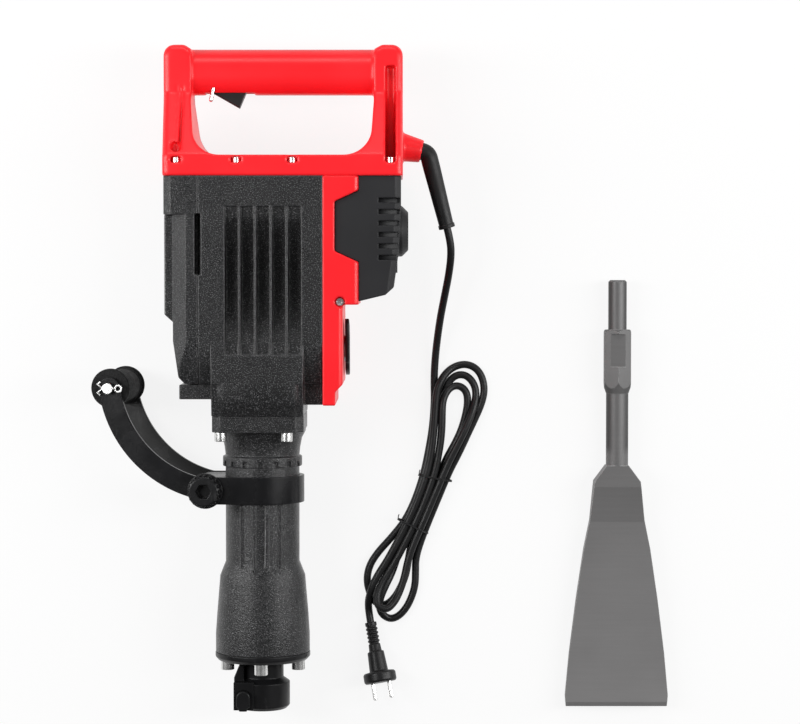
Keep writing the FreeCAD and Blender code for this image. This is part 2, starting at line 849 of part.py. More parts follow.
def hollow_gear_cover(body):
    chamber = rectangle(sketch_on(body, "YZ_Plane", -split_left), crank_outer_radius + 2,
                        case_top - chamber_top - 4, chamber_back, case_depth - chamber_front)
    pocket(body, chamber, cover_left - cover_wall - split_left)
    crank_seat = circle(sketch_on(body, "YZ_Plane", -split_left), 0, axis_height,
                        crank_outer_radius + seat_gap)
    pocket(body, crank_seat, 14)
    lay_seat = circle(sketch_on(body, "YZ_Plane", -cover_left + cover_wall), lay_height, lay_depth,
                      lay_bearing_radius + seat_gap)
    pocket(body, lay_seat, bearing_width)
    shanks = sketch_on(body, "YZ_Plane", -split_left)
    wells = sketch_on(body, "YZ_Plane", -cover_screw_seat)
    for y, z in cover_screw_places:
        circle(shanks, y, z, cover_screw_radius + seat_gap)
        circle(wells, y, z, cover_screw_head + 0.5)
    pocket(body, shanks, 20)
    pocket(body, wells, 40)


def socket_bolt(head_radius, head_height, shank_radius, shank_length, x, y, z, way):
    """A hexagon-socket bolt; its shank runs along the given way from under its head."""
    shift = {"+X": (1, 0, 0), "-X": (-1, 0, 0), "+Y": (0, 1, 0), "-Y": (0, -1, 0),
             "+Z": (0, 0, 1), "-Z": (0, 0, -1)}[way]
    start = [middle - step * head_height for middle, step in zip((x, y, z), shift)]
    mouth = [middle - step * (head_height * 1.1) for middle, step in zip((x, y, z), shift)]
    head = rod(head_radius, head_height, start[0], start[1], start[2], way)
    shank = rod(shank_radius, shank_length + head_height, start[0], start[1], start[2], way)
    socket = hexagon(head_radius, head_height * 0.7, mouth[0], mouth[1], mouth[2], way)
    return cut(fuse(head, shank), socket)


def make_cover_screws():
    screws = [socket_bolt(cover_screw_head, screw_head_height, cover_screw_radius,
                          cover_screw_length, -cover_screw_seat, y, z, "+X")
              for y, z in cover_screw_places]
    return group(screws, "cover_screws")


def make_barrel():
    body = new_body("barrel")
    place(body, 0, 0, axis_height, "-Y")
    half = axis_height - neck_inset
    flange = polygon(sketch_on(body, "XY_Plane", neck_end), [
        (-neck_left, -half + neck_bevel),
        (-neck_left + neck_bevel, -half),
        (neck_right - neck_bevel, -half),
        (neck_right, -half + neck_bevel),
        (neck_right, half - neck_bevel),
        (neck_right - neck_bevel, half),
        (-neck_left + neck_bevel, half),
        (-neck_left, half - neck_bevel),
    ])
    pad(body, flange, barrel_flange_end - neck_end)
    waist = ring_start - barrel_flange_end
    turn(body, [
        (0, neck_end),
        (barrel_radius + 7, neck_end),
        (barrel_radius + 7, barrel_flange_end + 1),
        (barrel_radius + 3, barrel_flange_end + waist * 0.3),
        (barrel_radius + 1, barrel_flange_end + waist * 0.65),
        (barrel_radius, ring_start - 1),
        (barrel_radius + barrel_ring_height, ring_start),
        (barrel_radius + barrel_ring_height, ring_end),
        (barrel_radius, ring_end),
        (barrel_radius, bell_start),
        (bell_shoulder_radius, bell_shoulder),
        (bell_radius - 1.5, (bell_shoulder + bell_end) / 2),
        (bell_radius, bell_end - 20),
        (bell_radius, bell_end),
        (0, bell_end),
    ])
    add_barrel_ribs(body)
    notch = rectangle(sketch_on(body, "XY_Plane", ring_end), barrel_radius,
                      barrel_radius + barrel_ring_height + 2, -3, 3)
    repeat_round(body, [pocket(body, notch, 6)], barrel_ring_notches)
    groove(body, [
        (0, neck_end - 1),
        (barrel_bore, neck_end - 1),
        (barrel_bore, liner_end + 2),
        (holder_bore, liner_end + 2),
        (holder_bore, bell_end + 1),
        (0, bell_end + 1),
    ])
    bolt_holes = sketch_on(body, "XY_Plane", neck_end)
    for x, offset in neck_bolt_places:
        circle(bolt_holes, x, offset, neck_bolt_radius + seat_gap)
    pocket(body, bolt_holes, barrel_flange_end - neck_end + 1, True)
    plate_hole = circle(sketch_on(body, "XY_Plane", bell_end), plate_bolt_circle / 2, 0,
                        plate_bolt_radius + seat_gap)
    repeat_round(body, [pocket(body, plate_hole, 20)], 4)
    return body


def add_barrel_ribs(body):
    """Upright ribs on the front and back of the barrel, below the handle's band."""
    for offset in (-21, -7, 7, 21):
        surface = root(barrel_radius * barrel_radius - offset * offset)
        for face in (1, -1):
            near = face * (surface - 4)
            far = face * (surface + barrel_rib_height)
            rib = rectangle(sketch_on(body, "XY_Plane", rib_start), offset - 2, offset + 2,
                            near, far)
            pad(body, rib, barrel_rib_end - rib_start)


def make_barrel_bolts():
    bolts = [socket_bolt(neck_bolt_head_radius, neck_bolt_head_height, neck_bolt_radius,
                         neck_bolt_length, x, -barrel_flange_end, axis_height + offset, "+Y")
             for x, offset in neck_bolt_places]
    return group(bolts, "barrel_bolts")


def make_front_flange():
    body = new_body("front_flange")
    place(body, 0, 0, axis_height, "-Y")
    hole = holder_neck_radius + free_gap
    turn(body, [
        (hole, bell_end),
        (bell_radius + 0.5, bell_end),
        (bell_radius + 0.5, plate_end - 4),
        (bell_radius - 3, plate_end),
        (hole, plate_end),
    ])
    bolt_hole = circle(sketch_on(body, "XY_Plane", bell_end), plate_bolt_circle / 2, 0,
                       plate_bolt_radius + seat_gap)
    repeat_round(body, [pocket(body, bolt_hole, plate_thickness, True)], 4)
    return body


def make_flange_bolts():
    reach = plate_bolt_circle / 2
    places = [(reach, 0), (0, reach), (-reach, 0), (0, -reach)]
    bolts = [socket_bolt(plate_bolt_head_radius, plate_bolt_head_height, plate_bolt_radius,
                         plate_bolt_length, x, -plate_end, axis_height + offset, "+Y")
             for x, offset in places]
    return group(bolts, "flange_bolts")


def make_tool_holder():
    body = new_body("tool_holder")
    place(body, 0, 0, axis_height, "-Y")
    turn(body, [
        (0, liner_end + 8),
        (holder_guide_radius, liner_end + 8),
        (holder_guide_radius, bell_end),
        (holder_neck_radius, bell_end),
        (holder_neck_radius, collar_start - 2),
        (collar_radius, collar_start + 3),
        (collar_radius, collar_end - 4),
        (collar_radius - 4, collar_end),
        (0, collar_end),
    ])
    boss = rectangle(sketch_on(body, "XY_Plane", collar_start), -retainer_offset - 11,
                     -retainer_offset + 11, -retainer_boss_half, retainer_boss_half)
    pad(body, boss, collar_end - collar_start - 2)
    web = polygon(sketch_on(body, "XZ_Plane", -retainer_boss_half + 10), [
        (-holder_neck_radius + 3, plate_end + 1),
        (-holder_neck_radius - 1, plate_end + 1),
        (-retainer_offset - 11, collar_start - 4),
        (-retainer_offset - 11, collar_start + 4),
        (-holder_neck_radius + 3, collar_start + 4),
    ])
    pad(body, web, 2 * (retainer_boss_half - 10))
    groove(body, [
        (0, liner_end + 7),
        (anvil_guide_radius + run_gap, liner_end + 7),
        (anvil_guide_radius + run_gap, anvil_guide_end + anvil_travel + 1),
        (anvil_nose_radius + run_gap, anvil_guide_end + anvil_travel + 8),
        (anvil_nose_radius + run_gap, collar_end - hex_depth + 1),
        (0, collar_end - hex_depth + 1),
    ])
    socket = polygon(sketch_on(body, "XY_Plane", collar_end), [
        (hex_corner * math.cos(math.radians(turned)), hex_corner * math.sin(math.radians(turned)))
        for turned in range(0, 360, 60)
    ])
    pocket(body, socket, hex_depth)
    groove(body, [
        (hex_corner - 2, collar_end + 1),
        (hex_corner + 3, collar_end + 1),
        (hex_corner - 2, collar_end - 4),
    ])
    cross_bore = circle(sketch_on(body, "XZ_Plane", -retainer_boss_half - 1), -retainer_offset,
                        retainer_distance, retainer_radius + run_gap)
    pocket(body, cross_bore, 2 * retainer_boss_half + 2, True)
    return body


def make_tool_retainer():
    """A cross pin with a flat, turned half a turn by its thumb lever."""
    front = axis_height + retainer_boss_half + free_gap
    back = axis_height - retainer_boss_half - free_gap
    thickness = retainer_lever_thickness
    pin = rod(retainer_radius, front - back + thickness / 2, -retainer_offset,
              -retainer_distance, back, "+Z")
    flat = block(-retainer_offset - retainer_radius - 1, -retainer_offset - retainer_flat,
                 -retainer_distance - 9, -retainer_distance + 9, axis_height - 18,
                 axis_height + 18)
    lever = block(-retainer_offset - retainer_lever_half, -retainer_offset + retainer_lever_half,
                  -retainer_distance - retainer_lever_length + 4, -retainer_distance, front,
                  front + thickness)
    lever_foot = block(-retainer_offset - retainer_lever_half + 3,
                       -retainer_offset + retainer_lever_half - 3,
                       -retainer_distance - retainer_lever_length, -retainer_distance, front,
                       front + thickness)
    lever_head = rod(retainer_lever_half, thickness, -retainer_offset, -retainer_distance, front,
                     "+Z")
    washer = rod(retainer_radius + 2, 2, -retainer_offset, -retainer_distance, back - 2, "+Z")
    return name_part(cut(fuse(pin, lever, lever_foot, lever_head, washer), flat),
                     "tool_retainer")


def make_cylinder_liner():
    length = liner_end - liner_start
    tube = cut(rod(liner_radius, length, 0, -liner_start, axis_height, "-Y"),
               rod(liner_bore, length, 0, -liner_start, axis_height, "-Y"))
    return name_part(tube, "cylinder_liner")


def make_buffer_ring():
    ring = cut(rod(holder_guide_radius, 6, 0, -liner_end - 2, axis_height, "-Y"),
               rod(anvil_guide_radius + 1, 6, 0, -liner_end - 2, axis_height, "-Y"))
    return name_part(ring, "buffer_ring")


# ---------------------------------------------------------------- hammer mechanism

def make_piston():
    barrel = rod(piston_radius, piston_length, 0, -piston_start, axis_height, "-Y")
    hollow = rod(piston_hollow_radius, piston_length - 16, 0, -piston_start, axis_height, "-Y")
    pin_hole = rod(wrist_pin_radius + seat_gap, 2 * piston_radius, -piston_radius, -piston_pin,
                   axis_height, "+X")
    return name_part(cut(barrel, hollow, pin_hole, seal_ring(0)), "piston")


def seal_ring(gap):
    """The ring near the piston's crown; a gap makes it slacker than its groove."""
    start = piston_start + piston_length - 9
    outer = rod(piston_radius, 3 - gap, 0, -start - gap / 2, axis_height, "-Y")
    inner = rod(piston_radius - 2.5 + gap, 3 - gap, 0, -start - gap / 2, axis_height, "-Y")
    return cut(outer, inner)


def make_piston_seal():
    return name_part(seal_ring(0.1), "piston_seal")


def make_wrist_pin():
    length = 2 * piston_radius - 4
    return name_part(rod(wrist_pin_radius, length, -length / 2, -piston_pin, axis_height, "+X"),
                     "wrist_pin")


def make_connecting_rod():
    left = -rod_width / 2
    big_eye = rod(rod_eye_radius, rod_width, left, crank_throw, axis_height, "+X")
    small_eye = rod(rod_small_eye, rod_width, left, -piston_pin, axis_height, "+X")
    shank = block(left + 2, -left - 2, -piston_pin, crank_throw, axis_height - 7, axis_height + 7)
    pin_hole = rod(crank_pin_radius + seat_gap, rod_width, left, crank_throw, axis_height, "+X")
    wrist_hole = rod(wrist_pin_radius + run_gap, rod_width, left, -piston_pin, axis_height, "+X")
    return name_part(cut(fuse(big_eye, small_eye, shank), pin_hole, wrist_hole), "connecting_rod")


def crank_disc_right():
    return -rod_width / 2 - 8


def make_crank_pin():
    """The pin stays in the rod's eye and stops just short of the crank disc."""
    start = crank_disc_right() + free_gap
    return name_part(rod(crank_pin_radius, rod_width / 2 - start, start, crank_throw, axis_height,
                         "+X"), "crank_pin")


def make_crankshaft():
    disc_left = crank_disc_right() - crank_disc_width
    disc = rod(crank_disc_radius, crank_disc_width, disc_left, 0, axis_height, "+X")
    shaft = rod(crank_shaft_radius, second_wheel_left + 1 + disc_left, -second_wheel_left - 1, 0,
                axis_height, "+X")
    tip = rod(crank_tip_radius, 20, -second_wheel_left - 19, 0, axis_height, "+X")
    hollows = [rod(7, crank_disc_width, disc_left, 12, axis_height + side, "+X")
               for side in (-22, 22)]
    return name_part(cut(fuse(disc, shaft, tip), *hollows), "crankshaft")


def gear_shape(teeth, module, left, width, y, z, towards, bore):
    """A spur gear about an X axis; one tooth, or for a negative count one gap, points
    towards the given angle, measured from +Y to +Z."""
    count = abs(teeth)
    step = 2 * math.pi / count
    turned = math.radians(towards) + (step / 2 if teeth < 0 else 0)
    pitch = number(module) * count / 2
    root_radius = pitch - 1.15 * number(module)
    tip_radius = pitch + 0.9 * number(module)
    corners = []
    for index in range(count):
        middle = turned + index * step
        flanks = ((root_radius, -0.30), (tip_radius, -0.10), (tip_radius, 0.10), (root_radius, 0.30))
        for radius, share in flanks:
            angle = middle + share * step
            corners.append(at(left, number(y) + radius * math.cos(angle),
                              number(z) + radius * math.sin(angle)))
    face = Part.Face(Part.makePolygon(corners + corners[:1]))
    solid = face.extrude(at(width, 0, 0))
    if number(bore) > 0:
        hole = Part.makeCylinder(number(bore), number(width) + 2, at(left - 1, y, z),
                                 Vector(1, 0, 0))
        solid = solid.cut(hole)
    return solid


def angle_between(y_1, z_1, y_2, z_2):
    return math.degrees(math.atan2(number(z_2) - number(z_1), number(y_2) - number(y_1)))


def make_crank_gear():
    towards = angle_between(0, axis_height, lay_height, lay_depth)
    shape = gear_shape(crank_wheel_teeth, second_module, -second_wheel_left, second_wheel_width,
                       0, axis_height, towards, crank_shaft_radius + seat_gap)
    return from_shape(shape, "crank_gear")


def make_reduction_gear():
    down = angle_between(lay_height, lay_depth, 0, axis_height)
    up = angle_between(lay_height, lay_depth, motor_height, axis_height)
    wheel = gear_shape(-wheel_teeth, gear_module, -wheel_left, wheel_width, lay_height, lay_depth,
                       up, 0)
    pinion = gear_shape(-second_pinion_teeth, second_module, -second_wheel_left - 1,
                        second_wheel_width + 1.4, lay_height, lay_depth, down, 0)
    start = -cover_left + cover_wall - bearing_width + 1
    end = -bearing_wall_left + bearing_width - 1
    shaft = Part.makeCylinder(number(lay_shaft_radius), number(end - start),
                              at(start, lay_height, lay_depth), Vector(1, 0, 0))
    return from_shape(wheel.fuse([pinion, shaft]).removeSplitter(), "reduction_gear")


def make_armature_shaft():
    down = angle_between(motor_height, axis_height, lay_height, lay_depth)
    pinion = gear_shape(pinion_teeth, gear_module, -wheel_left - 1, wheel_width + 2,
                        motor_height, axis_height, down, 0)
    start = -wheel_left - 2
    shaft = Part.makeCylinder(number(armature_shaft_radius), number(motor_shaft_end - start),
                              at(start, motor_height, axis_height), Vector(1, 0, 0))
    return from_shape(pinion.fuse(shaft).removeSplitter(), "armature_shaft")


def motor_ring(outer, inner, left, length):
    return cut(rod(outer, length, left, motor_height, axis_height, "+X"),
               rod(inner, length, left, motor_height, axis_height, "+X"))


def make_armature_core():
    stack = rod(armature_radius, stator_length, stator_left, motor_height, axis_height, "+X")
    windings = rod(armature_radius - 4, stator_length + 14, stator_left - 7, motor_height,
                   axis_height, "+X")
    slots = []
    for index in range(12):
        angle = math.radians(30 * index)
        slots.append(rod(2.4, stator_length + 2, stator_left - 1,
                         motor_height + armature_radius * math.cos(angle),
                         axis_height + armature_radius * math.sin(angle), "+X"))
    bore = rod(armature_shaft_radius + seat_gap, stator_length + 16, stator_left - 8,
               motor_height, axis_height, "+X")
    return name_part(cut(fuse(cut(stack, *slots), windings), bore), "armature_core")


def make_commutator():
    return name_part(motor_ring(commutator_radius, armature_shaft_radius + seat_gap,
                                commutator_left, commutator_length), "commutator")


def make_cooling_fan():
    """A hub and a disc with straight blades that face the motor."""
    hub = rod(12, fan_width, fan_left, motor_height, axis_height, "+X")
    disc = rod(fan_radius, 2, fan_left + fan_width - 2, motor_height, axis_height, "+X")
    blades = []
    for index in range(10):
        blade = doc.addObject("Part::Box", "Blade")
        bind(blade, "Length", fan_width)
        bind(blade, "Width", fan_radius - 11)
        blade.Height = 1.6
        spin = Placement(Vector(), Rotation(Vector(1, 0, 0), 36 * index))
        start = Placement(at(fan_left, 0, 0), Rotation()).multiply(spin)
        centre = Placement(at(0, motor_height, axis_height), Rotation())
        blade.Placement = centre.multiply(start).multiply(
            Placement(Vector(0, 10.5, -0.8), Rotation()))
        blades.append(blade)
    bore = rod(armature_shaft_radius + seat_gap, fan_width, fan_left, motor_height, axis_height,
               "+X")
    return name_part(cut(fuse(hub, disc, *blades), bore), "cooling_fan")


def make_stator():
    stack = rod(stator_radius, stator_length, stator_left, motor_height, axis_height, "+X")
    windings = rod(stator_radius - 5, stator_length + 16, stator_left - 8, motor_height,
                   axis_height, "+X")
    bore = rod(stator_bore, stator_length + 16, stator_left - 8, motor_height, axis_height, "+X")
    return name_part(cut(fuse(stack, windings), bore), "stator")


def make_brush_holders():
    half = 7
    reach = root(motor_bore * motor_bore - half * half)
    blocks = []
    for side in (1, -1):
        inner = motor_height + side * (commutator_radius + run_gap)
        outer = motor_height + side * reach
        low, high = (inner, outer) if side > 0 else (outer, inner)
        blocks.append(block(commutator_left + 4, commutator_left + commutator_length - 4, low,
                            high, axis_height - half, axis_height + half))
    return group(blocks, "brush_holders")


def bearing(outer, inner, left, width, y, z):
    return cut(rod(outer, width, left, y, z, "+X"), rod(inner + run_gap, width, left, y, z, "+X"))


def make_crank_bearings():
    wall = bearing_wall_left - bearing_wall_right
    inner = bearing(crank_bearing_radius, crank_shaft_radius, -bearing_wall_left, wall, 0,
                    axis_height)
    outer = bearing(crank_outer_radius, crank_tip_radius, -split_left - 13, 10, 0, axis_height)
    return group([inner, outer], "crank_bearings")


def make_lay_bearings():
    inner = bearing(lay_bearing_radius, lay_shaft_radius, -bearing_wall_left, bearing_width,
                    lay_height, lay_depth)
    outer = bearing(lay_bearing_radius, lay_shaft_radius, -cover_left + cover_wall - bearing_width,
                    bearing_width, lay_height, lay_depth)
    return group([inner, outer], "layshaft_bearings")


def make_motor_bearings():
    inner = bearing(motor_bearing_radius, armature_shaft_radius, -motor_bearing_left,
                    bearing_width, motor_height, axis_height)
    outer = bearing(motor_bearing_radius, armature_shaft_radius, cap_seat_left, bearing_width,
                    motor_height, axis_height)
    return group([inner, outer], "motor_bearings")


def make_striker():
    return name_part(rod(piston_radius, striker_length, 0, -striker_start, axis_height, "-Y"),
                     "striker")


def make_impact_bolt():
    shank = rod(anvil_shank_radius, anvil_guide_start - anvil_start, 0, -anvil_start, axis_height,
                "-Y")
    guide = rod(anvil_guide_radius, anvil_guide_end - anvil_guide_start, 0, -anvil_guide_start,
                axis_height, "-Y")
    nose = rod(anvil_nose_radius, anvil_end - anvil_guide_end, 0, -anvil_guide_end, axis_height,
               "-Y")
    return name_part(fuse(shank, guide, nose), "impact_bolt")


# ---------------------------------------------------------------- motor housing and cap

def lobe_outline(sketch, gap):
    return polygon(sketch, [
        (housing_right + 1, lobe_bottom + gap),
        (housing_right + 1, lobe_top - gap),
        (housing_right, lobe_top - gap),
        (lobe_left + gap, lobe_top - lobe_slant - gap),
        (lobe_left + gap, lobe_bottom + lobe_slant + gap),
        (housing_right, lobe_bottom + gap),
    ])


def make_motor_housing():
    body = new_body("motor_housing")
    outline = polygon(sketch_on(body, "XY_Plane"), [
        (case_right, case_top),
        (case_right, -housing_low_end),
        (housing_low_right - 8, -housing_low_end),
        (housing_low_right - 8, -case_bottom - 8),
        (housing_low_right, -case_bottom),
        (housing_low_right, housing_step),
        (housing_right, housing_step),
        (housing_right, case_top),
    ])
    pad(body, outline, case_depth)
    round_edges(body, 5, [at(housing_right, 40, case_depth), at(housing_right, 160, 0),
                          at(housing_low_right, 0, case_depth), at(housing_low_right, 0, 0)])
    for face, reverse in ((case_depth, False), (case_depth * 0, True)):
        lobe = lobe_outline(sketch_on(body, "XY_Plane", face), 0)
        pocket(body, lobe, lobe_depth, reverse)
    bore = circle(sketch_on(body, "YZ_Plane", case_right), motor_height, axis_height, motor_bore)
    pocket(body, bore, housing_right - case_right, True)
    low_hollow = rectangle(sketch_on(body, "YZ_Plane", case_right), -case_bottom + 4,
                           housing_step - 6, 10, case_depth - 10)
    pocket(body, low_hollow, housing_low_right - case_right - 5, True)
    window_hole = circle(sketch_on(body, "YZ_Plane", housing_low_right), -window_drop, axis_height,
                         window_glass_radius)
    pocket(body, window_hole, 6)
    screw_well = circle(sketch_on(body, "XY_Plane", case_depth), housing_low_right - 3,
                        housing_step + 3, 5.5)
    pocket(body, screw_well, 8)
    return body


def make_housing_screw():
    x = housing_low_right - 3
    y = housing_step + 3
    head = rod(4.2, 4, x, y, case_depth - 8, "+Z")
    recess = hexagon(4.4, 3, x, y, case_depth - 6, "+Z")
    return name_part(cut(head, recess), "housing_screw")


def make_motor_cap():
    body = new_body("motor_cap")
    outline = polygon(sketch_on(body, "XY_Plane", cap_inset), [
        (housing_right, case_top),
        (housing_right, cap_bottom - 7),
        (cap_low_right - 9, cap_bottom),
        (cap_low_right, cap_bottom + 8),
        (cap_right - 3, cap_bottom + 44),
        (cap_right, case_top - 30),
        (cap_right, case_top),
    ])
    pad(body, outline, case_depth - 2 * cap_inset)
    bevel_edges(body, 6, [at(cap_right, case_top - 10, case_depth - cap_inset),
                          at(cap_right, case_top - 10, cap_inset)])
    boss = circle(sketch_on(body, "YZ_Plane", cap_low_right), motor_height + 5, axis_height,
                  cap_boss_radius)
    pad(body, boss, cap_boss_right - cap_low_right)
    bevel_edges(body, 7, [at(cap_boss_right, motor_height + 5 + cap_boss_radius, axis_height)])
    lobe_thickness = lobe_depth - cap_inset
    for start in (case_depth - lobe_depth, cap_inset):
        lobe = lobe_outline(sketch_on(body, "XY_Plane", start), seat_gap)
        pad(body, lobe, lobe_thickness)
    hollow = polygon(sketch_on(body, "XY_Plane", case_depth - cap_inset - cap_wall - 1), [
        (housing_right - 1, case_top - 6),
        (housing_right - 1, cap_bottom),
        (cap_low_right - 13, cap_bottom + 6),
        (cap_low_right - 6, cap_bottom + 13),
        (cap_right - 9, cap_bottom + 44),
        (cap_right - 6, case_top - 30),
        (cap_right - 6, case_top - 6),
    ])
    pocket(body, hollow, case_depth - 2 * (cap_inset + cap_wall + 1))
    seat_tube = circle(sketch_on(body, "YZ_Plane", cap_seat_left), motor_height, axis_height,
                       motor_bearing_radius + cap_seat_wall)
    pad(body, seat_tube, cap_low_right - cap_seat_left + 4)
    seat = circle(sketch_on(body, "YZ_Plane", cap_seat_left), motor_height, axis_height,
                  motor_bearing_radius + seat_gap)
    pocket(body, seat, bearing_width, True)
    shaft_well = circle(sketch_on(body, "YZ_Plane", cap_seat_left), motor_height, axis_height,
                        armature_shaft_radius + 1)
    pocket(body, shaft_well, bearing_width + 8, True)
    cuts = []
    for face, reverse in ((case_depth - cap_inset + 1, False), (cap_inset - 1, True)):
        vent = rectangle(sketch_on(body, "XY_Plane", face), vent_left, cap_right + 2, vent_first,
                         vent_first + vent_height)
        cuts.append(pocket(body, vent, 30, reverse))
    repeat_along(body, cuts, "Y_Axis", vent_pitch * (vent_count - 1), vent_count)
    drill_for_handle_screws(body, handle_screw_places[3:])
    return body


def make_oil_window():
    glass = rod(window_glass_radius - seat_gap, 8, housing_low_right - 5, -window_drop,
                axis_height, "+X")
    return name_part(glass, "oil_window")


def make_window_ring():
    ring = cut(rod(window_radius, 6, housing_low_right, -window_drop, axis_height, "+X"),
               rod(window_glass_radius, 6, housing_low_right, -window_drop, axis_height, "+X"))
    return name_part(ring, "window_ring")


# ---------------------------------------------------------------- top handle

base_cell_columns = 5
base_cell_rows = 2
pivot_height = grip_bottom + trigger_pivot_height
tower_front = axis_height + tower_depth / 2
tower_back = axis_height - tower_depth / 2


def make_top_handle():
    body = loose_body()
    frame = polygon(sketch_on(body, "XY_Plane"), [
        (-base_left, case_top),
        (base_right, case_top),
        (base_right, handle_top),
        (tower_inner_right + 9, handle_top),
        (tower_inner_right, grip_top - 1),
        (tower_inner_right, grip_bottom - 8),
        (opening_right, base_top),
        (-opening_left, base_top),
        (-tower_inner_left, grip_bottom - 8),
        (-tower_inner_left, grip_top - 1),
        (-tower_inner_left - 8, handle_top),
        (-tower_left, handle_top),
        (-tower_left, tower_slope_end),
        (-base_left, base_top),
    ])
    pad(body, frame, case_depth)
    round_edges(body, opening_corner, [at(-opening_left, base_top, axis_height),
                                       at(opening_right, base_top, axis_height)])
    round_edges(body, tower_corner, [at(-tower_left, handle_top, axis_height),
                                     at(base_right, handle_top, axis_height)])
    slopes = sketch_on(body, "YZ_Plane", -tower_left - 5)
    for face, tower_face, outside in ((case_depth, tower_front, case_depth + 5),
                                      (case_depth * 0, tower_back, case_depth * 0 - 5)):
        polygon(slopes, [
            (base_top, face),
            (tower_slope_end, tower_face),
            (handle_top + 5, tower_face),
            (handle_top + 5, outside),
            (base_top, outside),
        ])
    pocket(body, slopes, tower_left + base_right + 10, True)
    round_edges(body, handle_rounding, outer_rim_places())
    add_grip(body)
    cut_handle_hollows(body)
    boss = cone(boss_root_radius, boss_end_radius, boss_length + 6, base_right - 6, boss_height,
                axis_height, "+X")
    lean = Rotation(Vector(0, 0, 1), -number(boss_tilt)).multiply(ALONG["+X"])
    boss.Placement.Rotation = lean
    guard_bore = aim(rod(guard_radius + free_gap, guard_seat + 1, 0, 0, 0, "+X"),
                     boss_end - boss_way * number(guard_seat), lean)
    upward = lock_pin_way().multVec(Vector(0, 0, 1))
    lock_bore = aim(rod(lock_pin_radius + run_gap, 38, 0, 0, 0, "+Y"),
                    lock_pin_foot() - upward * 6, lock_pin_way())
    return name_part(cut(fuse(body, boss), guard_bore, lock_bore), "top_handle")


def outer_rim_places():
    """A place on each outer edge of the handle's front and back; rounded corners follow."""
    base_middle = (case_top + base_top) / 2
    slope_middle = (base_top + tower_slope_end) / 2
    top_middle = (handle_top + grip_top - 1) / 2
    places = []
    for face, tower_face in ((case_depth, tower_front), (case_depth * 0, tower_back)):
        slope_face = (face + tower_face) / 2
        places += [
            at(-base_left, base_middle, face),
            at(base_right, base_middle, face),
            at(-(base_left + tower_left) / 2, slope_middle, slope_face),
            at(base_right, slope_middle, slope_face),
            at(-tower_left, tower_slope_end + 10, tower_face),
            at(base_right, tower_slope_end + 10, tower_face),
            at(-tower_inner_left - 4, top_middle, tower_face),
            at(tower_inner_right + 4.5, top_middle, tower_face),
        ]
    return places


def add_grip(body):
    radius = grip_depth / 2
    left = -tower_inner_left - 4
    length = tower_inner_left + tower_inner_right + 8
    for y in (grip_top - radius, grip_bottom + radius):
        pad(body, circle(sketch_on(body, "YZ_Plane", left), y, axis_height, radius), length)
    middle = rectangle(sketch_on(body, "YZ_Plane", left), grip_bottom + radius,
                       grip_top - radius, axis_height - radius, axis_height + radius)
    pad(body, middle, length)


def cut_handle_hollows(body):
    half = trigger_width / 2 + free_gap
    well = rectangle(sketch_on(body, "XY_Plane", axis_height + half), -trigger_pivot_left - 9,
                     -trigger_heel_left + 9, grip_bottom - 5, pivot_height + 23)
    pocket(body, well, 2 * half)
    left, right, low, high, back, front = switch_room()
    room = rectangle(sketch_on(body, "XY_Plane", front), left - 1, right, low, high)
    pocket(body, room, front - back)
    pin_hole = circle(sketch_on(body, "XY_Plane", axis_height + trigger_pin_length / 2),
                      -trigger_pivot_left, pivot_height, trigger_pin_radius + seat_gap)
    pocket(body, pin_hole, trigger_pin_length)
    cells = sketch_on(body, "XZ_Plane", -case_top)
    across = (base_left + base_right - handle_wall) / base_cell_columns
    deep = (case_depth - 3 * handle_wall) / base_cell_rows
    for column in range(base_cell_columns):
        for row in range(base_cell_rows):
            left = -base_left + handle_wall + across * column
            back = handle_wall + deep * row
            rectangle(cells, left, left + across - handle_wall, back, back + deep - handle_wall)
    pocket(body, cells, base_top - case_top - handle_wall)
    wells = sketch_on(body, "XZ_Plane", -handle_screw_seat)
    shanks = sketch_on(body, "XZ_Plane", -case_top)
    for x in handle_screw_places:
        circle(wells, x, case_depth - screw_inset, handle_screw_radius + 1)
        circle(shanks, x, case_depth - screw_inset, handle_shank_radius + seat_gap)
    pocket(body, shanks, handle_screw_seat - case_top + 1)
    pocket(body, wells, 22)
    windows = sketch_on(body, "XY_Plane", case_depth)
    for x in handle_screw_places:
        rectangle(windows, x - handle_screw_radius - 0.6, x + handle_screw_radius + 0.6,
                  handle_screw_seat, handle_screw_seat + screw_head_height + 0.5)
    pocket(body, windows, screw_inset)
    slot = rectangle(sketch_on(body, "XY_Plane", case_depth), 137, 148, base_top - 8, 291)
    pocket(body, slot, axis_height - 15)
    for left_edge in (-93, -87):
        shallow = polygon(sketch_on(body, "YZ_Plane", left_edge), [
            (base_top + 4, case_depth),
            (base_top + 4, case_depth - 12),
            (tower_slope_end + 2, tower_front - 3),
            (tower_slope_end + 10, tower_front + 1),
        ])
        pocket(body, shallow, 3, True)


def switch_room():
    left = -trigger_heel_left + 9
    return (left, left + 50, grip_bottom + 11, grip_bottom + 39, axis_height - 12,
            axis_height + 12)


def lock_pin_way():
    """The lock pin leans a little to the left on its way down."""
    return Rotation(Vector(0, 0, 1), -number(lock_pin_lean)).multiply(ALONG["+Y"])


def lock_pin_foot():
    return at(-trigger_pivot_left - 2, pivot_height - trigger_pin_radius - lock_pin_drop,
              axis_height + lock_pin_lift)


def make_switch_body():
    left, right, low, high, back, front = switch_room()
    housing = block(left + 1, right, low, high, back, front)
    return name_part(housing, "switch_body")


